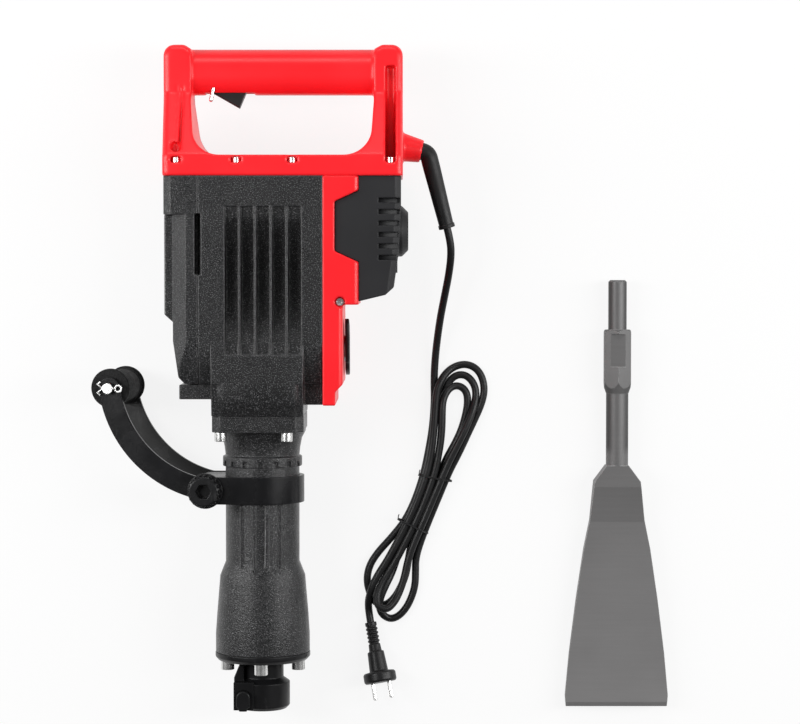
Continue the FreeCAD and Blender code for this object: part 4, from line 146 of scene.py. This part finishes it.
class Look:
    """A procedural material around one Principled shader, in object coordinates."""

    def __init__(self, name):
        self.material = bpy.data.materials.new(name)
        self.material.use_nodes = True
        self.tree = self.material.node_tree
        self.shader = self.tree.nodes["Principled BSDF"]
        self.place = self.add("ShaderNodeTexCoord").outputs["Object"]
        self.bevel_normal = None

    def add(self, kind, **values):
        node = self.tree.nodes.new(kind)
        for key, value in values.items():
            setattr(node, key, value)
        return node

    def link(self, start, end):
        self.tree.links.new(start, end)

    def noise(self, scale, detail=3.0, roughness=0.5, stretch=None):
        node = self.add("ShaderNodeTexNoise")
        node.inputs["Scale"].default_value = scale
        node.inputs["Detail"].default_value = detail
        node.inputs["Roughness"].default_value = roughness
        self.link(self.stretched(stretch), node.inputs["Vector"])
        return node.outputs["Fac"]

    def stretched(self, stretch):
        if stretch is None:
            return self.place
        node = self.add("ShaderNodeMapping")
        node.inputs["Scale"].default_value = stretch
        self.link(self.place, node.inputs["Vector"])
        return node.outputs["Vector"]

    def cells(self, scale, stretch=None):
        node = self.add("ShaderNodeTexVoronoi")
        node.inputs["Scale"].default_value = scale
        self.link(self.stretched(stretch), node.inputs["Vector"])
        return node.outputs["Distance"]

    def ramp(self, value, stops):
        node = self.add("ShaderNodeValToRGB")
        elements = node.color_ramp.elements
        while len(elements) < len(stops):
            elements.new(0.5)
        for element, (position, colour) in zip(elements, stops):
            element.position = position
            element.color = (*colour, 1)
        self.link(value, node.inputs["Fac"])
        return node.outputs["Color"]

    def range(self, value, low, high, start=0.0, end=1.0):
        node = self.add("ShaderNodeMapRange")
        node.inputs["From Min"].default_value = start
        node.inputs["From Max"].default_value = end
        node.inputs["To Min"].default_value = low
        node.inputs["To Max"].default_value = high
        self.link(value, node.inputs["Value"])
        return node.outputs["Result"]

    def math(self, operation, first, second):
        node = self.add("ShaderNodeMath", operation=operation)
        for socket, value in zip(node.inputs, (first, second)):
            if isinstance(value, (int, float)):
                socket.default_value = value
            else:
                self.link(value, socket)
        return node.outputs["Value"]

    def mix(self, share, first, second):
        node = self.add("ShaderNodeMix", data_type="RGBA")
        for socket, value in ((node.inputs["Factor"], share), (node.inputs[6], first),
                              (node.inputs[7], second)):
            if isinstance(value, tuple):
                socket.default_value = (*value, 1)
            elif isinstance(value, (int, float)):
                socket.default_value = value
            else:
                self.link(value, socket)
        return node.outputs[2]

    def edges(self, radius):
        """0 on flat ground, rising to 1 on edges; also rounds the shading there."""
        bevel = self.add("ShaderNodeBevel", samples=6)
        bevel.inputs["Radius"].default_value = radius
        plain = self.add("ShaderNodeNewGeometry")
        dot = self.add("ShaderNodeVectorMath", operation="DOT_PRODUCT")
        self.link(bevel.outputs["Normal"], dot.inputs[0])
        self.link(plain.outputs["Normal"], dot.inputs[1])
        self.bevel_normal = bevel.outputs["Normal"]
        return self.range(dot.outputs["Value"], 1, 0, 0.72, 0.995)

    def bump(self, layers):
        """Layers of (height, distance in metres) under one another."""
        normal = self.bevel_normal
        for height, distance in layers:
            node = self.add("ShaderNodeBump")
            node.inputs["Strength"].default_value = 1.0
            node.inputs["Distance"].default_value = distance
            self.link(height, node.inputs["Height"])
            if normal:
                self.link(normal, node.inputs["Normal"])
            normal = node.outputs["Normal"]
        self.link(normal, self.shader.inputs["Normal"])

    def finish(self, colour, roughness, **constants):
        self.link(colour, self.shader.inputs["Base Color"])
        if isinstance(roughness, (int, float)):
            self.shader.inputs["Roughness"].default_value = roughness
        else:
            self.link(roughness, self.shader.inputs["Roughness"])
        for key, value in constants.items():
            self.shader.inputs[key.replace("_", " ")].default_value = value
        return self.material


# Left of this X, on the gear cover's pad, the cast's grain carries a painted highlight.
PAD_FACE = -0.1030


def painted_cast():
    """Black powder coat on a casting: a dense pale grain and specks, partly the coat's own speckle
    and partly painted glints, brighter on edges from wear and from a painted edge highlight.

    Left of PAD_FACE, on the gear cover's pad, the grain is lightened into a painted highlight, as
    if the pad's side caught the light.
    """
    look = Look("black_powder_coat")
    edge = look.edges(0.0018)
    grain = look.noise(760, 2, 0.6)
    coarse = look.noise(260, 3, 0.55)
    colour = look.ramp(look.noise(9, 4), [(0.3, (0.0055, 0.0056, 0.006)),
                                          (0.7, (0.0095, 0.0097, 0.0102))])
    # Pale grain peaks and specks: the coat's own speckle, also painted glints that stand in for
    # its sparkle.
    grain_peaks_and_glints = look.range(grain, 0, 1, 0.46, 0.68)
    colour = look.mix(look.math("MULTIPLY", grain_peaks_and_glints, 0.5), colour, (0.05, 0.05, 0.052))
    specks_and_glints = look.range(look.noise(900, 1), 0, 1, 0.6, 0.66)
    colour = look.mix(look.math("MULTIPLY", specks_and_glints, 0.6), colour, (0.21, 0.21, 0.215))
    # Paler edges: partly real wear, partly a painted edge highlight.
    worn = look.math("MULTIPLY", edge, look.range(look.noise(130, 4), 0.35, 1, 0.35, 0.6))
    colour = look.mix(worn, colour, (0.42, 0.42, 0.425))
    across = look.add("ShaderNodeSeparateXYZ")
    look.link(look.place, across.inputs["Vector"])
    # Painted highlight: the grain on the cover's pad is lightened as if it caught the light.
    pad_painted_highlight = look.math("MULTIPLY", look.range(across.outputs["X"], 1, 0, PAD_FACE - 0.0006,
                                              PAD_FACE + 0.0006), grain_peaks_and_glints)
    colour = look.mix(look.math("MULTIPLY", pad_painted_highlight, 0.7), colour, (0.42, 0.42, 0.42))
    look.bump([(coarse, 0.0003), (grain, 0.00045)])
    rough = look.range(look.noise(40, 3), 0.26, 0.36, 0.3, 0.7)
    return look.finish(colour, rough, Specular_IOR_Level=0.34)


def painted_steel(name, dark, pale, rough, worn_colour, low_painted_sheen=None):
    """Satin black steel; the last argument, when given, is the paler colour of a painted sheen it
    fades to where it lies near the floor.
    """
    look = Look(name)
    edge = look.edges(0.0012)
    colour = look.ramp(look.noise(14, 4), [(0.3, dark), (0.7, pale)])
    if low_painted_sheen:
        # Painted sheen: paler below about z 0.02 to 0.06, standing in for the light the low parts
        # reflect.
        height = look.add("ShaderNodeSeparateXYZ")
        look.link(look.place, height.inputs["Vector"])
        low = look.range(height.outputs["Z"], 1, 0, 0.02, 0.06)
        low = look.math("MULTIPLY", low, look.range(look.noise(16, 3), 0.55, 1, 0.3, 0.7))
        colour = look.mix(low, colour, low_painted_sheen)
    scuffs = look.ramp(look.noise(60, 6, 0.7, (1, 0.25, 1)),
                       [(0.6, (0, 0, 0)), (0.72, (1, 1, 1))])
    colour = look.mix(look.math("MULTIPLY", scuffs, 0.18), colour, worn_colour)
    worn = look.math("MULTIPLY", edge, look.range(look.noise(150, 4), 0, 0.7, 0.4, 0.7))
    colour = look.mix(worn, colour, worn_colour)
    look.bump([(look.noise(90, 3), 0.00012), (look.noise(900, 2), 0.00004)])
    return look.finish(colour, look.range(look.noise(30, 4), rough - 0.07, rough + 0.09, 0.3, 0.7),
                       Specular_IOR_Level=0.2)


def moulded_plastic(name, dark, pale, rough, grain, coat, gloss=0.3):
    look = Look(name)
    edge = look.edges(0.0022)
    colour = look.ramp(look.noise(7, 4), [(0.3, dark), (0.7, pale)])
    # Painted highlight: the moulding's edges are lightened evenly, as if they caught the light.
    painted_edge_highlight = tuple(min(1, 1.25 * channel + 0.02) for channel in pale)
    colour = look.mix(look.math("MULTIPLY", edge, 0.35), colour, painted_edge_highlight)
    scratches = look.ramp(look.noise(45, 8, 0.8, (1, 0.1, 1)),
                          [(0.66, (0, 0, 0)), (0.7, (1, 1, 1))])
    look.bump([(look.noise(25, 2), 0.0004), (look.noise(grain, 2), 0.00003)])
    rough = look.math("ADD", look.range(look.noise(20, 4), rough - 0.04, rough + 0.05, 0.3, 0.7),
                      look.math("MULTIPLY", scratches, 0.08))
    return look.finish(colour, rough, Coat_Weight=coat, Coat_Roughness=0.12,
                       Specular_IOR_Level=gloss)


def bare_metal(name, dark, pale, rough, stretch, marks, edge_highlight_share=0.25):
    look = Look(name)
    edge = look.edges(0.0007)
    streaks = look.noise(marks, 5, 0.65, stretch)
    colour = look.ramp(look.math("ADD", look.math("MULTIPLY", streaks, 0.6),
                                 look.math("MULTIPLY", look.noise(18, 4), 0.4)),
                       [(0.3, dark), (0.7, pale)])
    # Painted highlight: the edges are lightened evenly towards pale grey.
    colour = look.mix(look.math("MULTIPLY", edge, edge_highlight_share), colour, (0.85, 0.85, 0.85))
    look.bump([(streaks, 0.00006)])
    return look.finish(colour, look.range(streaks, rough - 0.08, rough + 0.1, 0.3, 0.7),
                       Metallic=1.0)


BLADE_TOP = -0.14
BLADE_END = -0.43


def chisel_steel():
    """Ground steel: paler towards the blade's edge, with painted shade on the shank's sides and
    painted highlights on its edges.
    """
    look = Look("ground_tool_steel")
    edge = look.edges(0.0012)
    along = look.add("ShaderNodeSeparateXYZ")
    look.link(look.place, along.inputs["Vector"])
    facing = look.add("ShaderNodeSeparateXYZ")
    look.link(look.add("ShaderNodeNewGeometry").outputs["Normal"], facing.inputs["Vector"])
    down = look.range(along.outputs["Y"], 1, 0, BLADE_END, BLADE_TOP)
    grind = look.noise(420, 5, 0.6, (0.04, 1, 1))
    cloud = look.noise(14, 4)
    mark = look.math("ADD", look.math("MULTIPLY", grind, 0.2), look.math("MULTIPLY", cloud, 0.14))
    colour = look.ramp(look.math("ADD", look.math("MULTIPLY", down, 0.7), mark),
                       [(0.05, (0.118, 0.116, 0.116)), (0.95, (0.225, 0.221, 0.221))])
    # Painted shade: the shank's faces that turn sideways are darkened, as a cylinder's flanks fall
    # into shade.
    painted_side_shade = look.range(look.math("ABSOLUTE", facing.outputs["X"], 0), 0, 0.8, 0.35, 0.85)
    shank = look.range(along.outputs["Y"], 0, 1, BLADE_TOP - 0.002, BLADE_TOP + 0.008)
    colour = look.mix(look.math("MULTIPLY", painted_side_shade, shank), colour, (0.02, 0.02, 0.02))
    # Painted highlight: the edges are lightened, as if light caught their bevels.
    colour = look.mix(look.math("MULTIPLY", edge, 0.6), colour, (0.62, 0.62, 0.62))
    look.bump([(grind, 0.00004)])
    return look.finish(colour, look.range(cloud, 0.42, 0.55, 0.3, 0.7), Metallic=0.25)


def soft_rubber(name, dark, pale, rough, grain, depth):
    look = Look(name)
    edge = look.edges(0.001)
    colour = look.ramp(look.noise(22, 4), [(0.3, dark), (0.7, pale)])
    dust = look.ramp(look.noise(260, 4, 0.7), [(0.62, (0, 0, 0)), (0.8, (1, 1, 1))])
    colour = look.mix(look.math("MULTIPLY", dust, 0.12), colour, (0.16, 0.16, 0.16))
    # Painted highlight: the edges are evenly a little paler.
    colour = look.mix(look.math("MULTIPLY", edge, 0.2), colour, (0.09, 0.09, 0.09))
    look.bump([(look.noise(grain, 3), depth)])
    return look.finish(colour, look.range(look.noise(35, 3), rough - 0.06, rough + 0.08, 0.3, 0.7),
                       Specular_IOR_Level=0.3)


def foam():
    look = Look("foam_rubber")
    pores = look.cells(520)
    skin = look.noise(260, 4, 0.6)
    colour = look.ramp(pores, [(0.1, (0.003, 0.003, 0.003)), (0.5, (0.012, 0.012, 0.0125))])
    colour = look.mix(look.range(look.noise(18, 4), 0, 0.3, 0.4, 0.7), colour,
                      (0.022, 0.022, 0.0225))
    look.bump([(skin, 0.0005), (pores, 0.0004)])
    return look.finish(colour, look.range(skin, 0.62, 0.85, 0.3, 0.7), Specular_IOR_Level=0.2)


def sight_glass():
    look = Look("oil_sight_glass")
    colour = look.ramp(look.noise(30, 3), [(0.3, (0.5, 0.56, 0.55)), (0.7, (0.62, 0.67, 0.66))])
    look.bump([(look.noise(60, 2), 0.0001)])
    return look.finish(colour, look.range(look.noise(80, 3), 0.06, 0.14, 0.3, 0.7),
                       Coat_Weight=0.6)


LOOKS = {
    "black_cast": painted_cast(),
    "black_steel": painted_steel("black_oxide_steel", (0.006, 0.006, 0.0065),
                                 (0.012, 0.012, 0.013), 0.3, (0.12, 0.12, 0.12)),
    # The strap's last colour is a painted sheen on its parts near the floor.
    "black_handle_steel": painted_steel("satin_black_strap", (0.004, 0.004, 0.0045),
                                        (0.009, 0.009, 0.01), 0.26, (0.11, 0.11, 0.11),
                                        (0.045, 0.045, 0.045)),
    "red_plastic": moulded_plastic("red_moulding", (0.86, 0.010, 0.016), (0.94, 0.016, 0.024),
                                   0.36, 900, 0.08),
    "dark_plastic": moulded_plastic("dark_moulding", (0.013, 0.013, 0.0145),
                                    (0.020, 0.020, 0.022), 0.5, 1100, 0.0),
    "trigger_plastic": moulded_plastic("trigger_moulding", (0.009, 0.009, 0.009),
                                       (0.016, 0.016, 0.016), 0.42, 1000, 0.0),
    "insulation": moulded_plastic("brush_insulation", (0.19, 0.11, 0.05), (0.28, 0.18, 0.09),
                                  0.55, 800, 0.0),
    "fan_plastic": moulded_plastic("fan_moulding", (0.07, 0.07, 0.07), (0.11, 0.11, 0.11),
                                   0.5, 900, 0.0),
    "bright_screw": bare_metal("plated_screw", (0.74, 0.74, 0.73), (0.88, 0.88, 0.87), 0.24,
                               (1, 1, 1), 40),
    "tool_steel": chisel_steel(),
    "machined_steel": bare_metal("turned_steel", (0.42, 0.42, 0.42), (0.62, 0.62, 0.62), 0.26,
                                 (1, 1, 1), 320),
    "laminated_steel": bare_metal("stacked_laminations", (0.24, 0.24, 0.25), (0.45, 0.45, 0.46),
                                  0.42, (1, 0.02, 0.02), 900),
    "bearing_steel": bare_metal("ground_bearing_steel", (0.55, 0.55, 0.56), (0.76, 0.76, 0.77),
                                0.18, (1, 1, 1), 500),
    "commutator_copper": bare_metal("commutator_copper", (0.55, 0.26, 0.14), (0.78, 0.42, 0.24),
                                    0.3, (0.05, 1, 1), 400),
    "black_rubber": soft_rubber("black_rubber", (0.007, 0.007, 0.0075), (0.013, 0.013, 0.0135),
                                0.45, 700, 0.00008),
    "seal_rubber": soft_rubber("seal_rubber", (0.03, 0.018, 0.012), (0.055, 0.034, 0.022), 0.45,
                               800, 0.00005),
    "cord_black": soft_rubber("cord_jacket", (0.006, 0.006, 0.0065), (0.012, 0.012, 0.0125), 0.4,
                              520, 0.00006),
    "grip_foam": foam(),
    "window_glass": sight_glass(),
}

for node in nodes.values():
    for holder in node.material_slots:
        holder.material = LOOKS[holder.material.name.split(".")[0]]
cord.data.materials.append(LOOKS["cord_black"])

# ---------------------------------------------------------------- added pieces


def finished(piece, slot):
    """Gives a new piece its material; all of them ride on the housing."""
    piece.data.materials.append(LOOKS[slot])
    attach(piece, "housing")
    return piece


def mesh_piece(name, build):
    mesh = bmesh.new()
    build(mesh)
    bmesh.ops.recalc_face_normals(mesh, faces=mesh.faces)
    data = bpy.data.meshes.new(name)
    mesh.to_mesh(data)
    mesh.free()
    for face in data.polygons:
        face.use_smooth = True
    piece = bpy.data.objects.new(name, data)
    scene.collection.objects.link(piece)
    return piece


def loft(mesh, rings):
    """Skins rings of equal length and closes both ends."""
    made = [[mesh.verts.new(place) for place in ring] for ring in rings]
    count = len(made[0])
    for first, second in zip(made, made[1:]):
        for i in range(count):
            j = (i + 1) % count
            mesh.faces.new((first[i], first[j], second[j], second[i]))
    mesh.faces.new(list(reversed(made[0])))
    mesh.faces.new(made[-1])


TIE_LOW, TIE_HIGH = 0.0007, 0.0181
TIE_WIRE = 0.00055
TIE_STEPS = 16


def wire_tie(name, left, right, twist_x):
    """Two turns of thin wire round the strands, from left to right, with twisted ends."""
    lift = (TIE_HIGH - TIE_LOW) / 2
    across = Vector(right) - Vector(left)
    places = []
    for turn in range(2):
        for step in range(TIE_STEPS):
            angle = 2 * math.pi * step / TIE_STEPS
            share = 0.5 - 0.5 * math.cos(angle)
            flat = abs(math.sin(angle)) ** 0.6 * (1 if math.sin(angle) > 0 else -1)
            place = Vector(left) + across * share
            places.append((place.x, place.y + 0.0012 * turn + 0.0002 * step / TIE_STEPS,
                           TIE_LOW + lift + flat * lift))
    end_y = places[-1][1]
    places += [(twist_x, end_y, TIE_HIGH), (twist_x - 0.0006, end_y + 0.003, TIE_HIGH + 0.0012),
               (twist_x + 0.0006, end_y + 0.006, TIE_HIGH + 0.0006)]
    tie = finished(smooth_curve(name, places, TIE_WIRE), "black_rubber")
    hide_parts("cord_ties")
    return tie


upper_tie = wire_tie("upper_tie", (0.1738, -0.1662, 0), (0.2120, -0.1735, 0), 0.1750)
lower_tie = wire_tie("lower_tie", (0.1502, -0.2165, 0), (0.1850, -0.2330, 0), 0.1512)


NECK_LEFT, NECK_RIGHT = -0.0512, 0.0466
NECK_FRONT_LEFT, NECK_FRONT_RIGHT = -0.0392, 0.0372
NECK_BACK = 0.118
NECK_CHAMFER = 0.0085


def neck_pad(mesh):
    """The flat front of the case's neck with a wide chamfer down each side."""
    rings = []
    for y, top in ((-0.0545, 0.13995), (-0.0560, 0.13995), (-0.0740, 0.1368), (-0.0918, 0.1332)):
        low = top - NECK_CHAMFER
        rings.append([(NECK_LEFT, y, NECK_BACK), (NECK_LEFT, y, low),
                      (NECK_LEFT + 0.0014, y, low + 0.0022),
                      (NECK_FRONT_LEFT - 0.0018, y, top - 0.0006),
                      (NECK_FRONT_LEFT, y, top), (NECK_FRONT_RIGHT, y, top),
                      (NECK_FRONT_RIGHT + 0.0016, y, top - 0.0006),
                      (NECK_RIGHT - 0.0014, y, low + 0.0022),
                      (NECK_RIGHT, y, low), (NECK_RIGHT, y, NECK_BACK)])
    loft(mesh, rings)


finished(mesh_piece("neck_pad", neck_pad), "black_cast")


WINDOW_Y, WINDOW_Z = -0.018, 0.07
GASKET_TOP, GASKET_BOTTOM = 0.0055, -0.0420
GASKET_FRONT, GASKET_BACK = 0.092, 0.048
GASKET_CORNER = 0.008


def window_gasket(mesh):
    """A black sealing plate round the oil window; two of its corners are cut inwards."""
    corners = []
    for centre_y, centre_z, turn in ((GASKET_TOP, GASKET_FRONT, 0), (GASKET_TOP, GASKET_BACK, 90),
                                     (GASKET_BOTTOM, GASKET_BACK, 180),
                                     (GASKET_BOTTOM, GASKET_FRONT, 270)):
        for step in range(7):
            angle = math.radians(turn + 15 * step)
            corners.append((centre_y + GASKET_CORNER * math.cos(angle),
                            centre_z + GASKET_CORNER * math.sin(angle)))
    corners.sort(key=lambda at: math.atan2(at[1] - WINDOW_Z, at[0] - WINDOW_Y))
    loft(mesh, [[(x, y * grow + WINDOW_Y * (1 - grow), z * grow + WINDOW_Z * (1 - grow))
                 for y, z in corners]
                for x, grow in ((0.0925, 1), (0.0962, 1), (0.0968, 0.97))])


finished(mesh_piece("window_gasket", window_gasket), "black_rubber")


SHIELD_START, SHIELD_LENGTH = 0.0640, 0.0960


def vent_shield(mesh):
    """A dark channel inside the motor cap, behind its vents."""
    rings = []
    for share in (0, 0.25, 0.5, 0.75, 1):
        y = SHIELD_START + SHIELD_LENGTH * share
        rings.append([(x, y, z) for x, z in
                      ((0.112, 0.020), (0.150, 0.020), (0.150, 0.030), (0.150, 0.110),
                       (0.148, 0.116), (0.112, 0.116), (0.112, 0.112), (0.142, 0.112),
                       (0.144, 0.108), (0.144, 0.032), (0.142, 0.026), (0.112, 0.026))])
    loft(mesh, rings)


finished(mesh_piece("vent_shield", vent_shield), "dark_plastic")

# ---------------------------------------------------------------- softened edges

EDGE_WIDTHS = {
    "gear_case": 0.0011, "gear_cover": 0.0011, "barrel": 0.0009, "front_flange": 0.0008,
    "motor_cap": 0.0009, "tool_holder": 0.0008,
    "side_handle_strap": 0.0006, "clamp_bolt": 0.0004, "clamp_saddle": 0.0006,
    "clamp_nut": 0.0005, "trigger": 0.0006, "plug_body": 0.0006,
    "barrel_bolts": 0.0005, "flange_bolts": 0.0005, "handle_screws": 0.0004,
    "cover_screws": 0.0004, "window_ring": 0.0004, "grip_pin": 0.0005,
}


def soften_edges(node, width):
    """Rounds a casting's or moulding's corners a little; its flat faces stay flat."""
    weld = node.modifiers.new("joined", "WELD")
    weld.merge_threshold = 1e-5
    flat = node.modifiers.new("flat_faces", "DECIMATE")
    flat.decimate_type = "DISSOLVE"
    flat.angle_limit = math.radians(1)
    bevel = node.modifiers.new("rounded", "BEVEL")
    bevel.width = width
    bevel.segments = 2
    bevel.limit_method = "ANGLE"
    bevel.angle_limit = math.radians(32)
    bevel.use_clamp_overlap = False
    shading = node.modifiers.new("shading", "WEIGHTED_NORMAL")
    shading.weight = 80


def melt_edges(node, voxel, rounds):
    """Blends all the corners of a moulded or forged piece into soft fillets."""
    remesh = node.modifiers.new("skin", "REMESH")
    remesh.mode = "VOXEL"
    remesh.voxel_size = voxel
    remesh.use_smooth_shade = True
    smooth = node.modifiers.new("soft", "SMOOTH")
    smooth.factor = 0.5
    smooth.iterations = rounds


for name, width in EDGE_WIDTHS.items():
    soften_edges(nodes[name], width)
melt_edges(nodes["top_handle"], 0.0013, 9)
melt_edges(nodes["tool_retainer"], 0.0007, 8)
melt_edges(nodes["motor_housing"], 0.0011, 3)

# ---------------------------------------------------------------- floor and light

FLOOR_DROP = 0.0004
FLOOR_GLOW = 0.86
LAMP_AIM = Vector((0.12, -0.05, 0.05))

floor = bpy.data.objects.new("floor", bpy.data.meshes.new("floor"))
mesh = bmesh.new()
bmesh.ops.create_grid(mesh, x_segments=1, y_segments=1, size=6)
mesh.to_mesh(floor.data)
mesh.free()
floor.location = (0.15, 0, -FLOOR_DROP)
scene.collection.objects.link(floor)
paper = bpy.data.materials.new("pale_floor")
paper.use_nodes = True
tree = paper.node_tree
for node in list(tree.nodes):
    tree.nodes.remove(node)
output = tree.nodes.new("ShaderNodeOutputMaterial")
diffuse = tree.nodes.new("ShaderNodeBsdfDiffuse")
diffuse.inputs["Color"].default_value = (0.86, 0.86, 0.86, 1)
glow = tree.nodes.new("ShaderNodeEmission")
path = tree.nodes.new("ShaderNodeLightPath")
glossy = tree.nodes.new("ShaderNodeMath")
glossy.operation = "MAXIMUM"
through = tree.nodes.new("ShaderNodeMath")
through.operation = "MAXIMUM"
seen = tree.nodes.new("ShaderNodeMath")
seen.operation = "MULTIPLY"
seen.inputs[1].default_value = FLOOR_GLOW
blend = tree.nodes.new("ShaderNodeMixShader")
tree.links.new(path.outputs["Is Camera Ray"], glossy.inputs[0])
tree.links.new(path.outputs["Is Glossy Ray"], glossy.inputs[1])
tree.links.new(glossy.outputs[0], through.inputs[0])
tree.links.new(path.outputs["Is Transmission Ray"], through.inputs[1])
tree.links.new(through.outputs[0], seen.inputs[0])
tree.links.new(seen.outputs[0], blend.inputs[0])
tree.links.new(diffuse.outputs[0], blend.inputs[1])
tree.links.new(glow.outputs[0], blend.inputs[2])
tree.links.new(blend.outputs[0], output.inputs[0])
floor.data.materials.append(paper)

world = bpy.data.worlds.new("studio")
scene.world = world
world.use_nodes = True
background = world.node_tree.nodes["Background"]
background.inputs["Color"].default_value = (1, 1, 1, 1)
background.inputs["Strength"].default_value = 0.15


def softbox(name, place, size, power):
    data = bpy.data.lights.new(name, "AREA")
    data.shape = "RECTANGLE"
    data.size, data.size_y = size
    data.energy = power
    lamp = bpy.data.objects.new(name, data)
    lamp.location = place
    aim = LAMP_AIM - Vector(place)
    lamp.rotation_euler = aim.to_track_quat("-Z", "Y").to_euler()
    scene.collection.objects.link(lamp)


softbox("left_box", (-1.65, 0.3, 1.35), (0.55, 2.4), 44)
softbox("right_box", (1.95, 0.2, 1.4), (0.5, 2.4), 40)
softbox("top_box", (0.1, 2.2, 1.5), (2.0, 0.6), 20)

scene.view_settings.view_transform = "Standard"

# ---------------------------------------------------------------- end

bpy.context.view_layer.update()
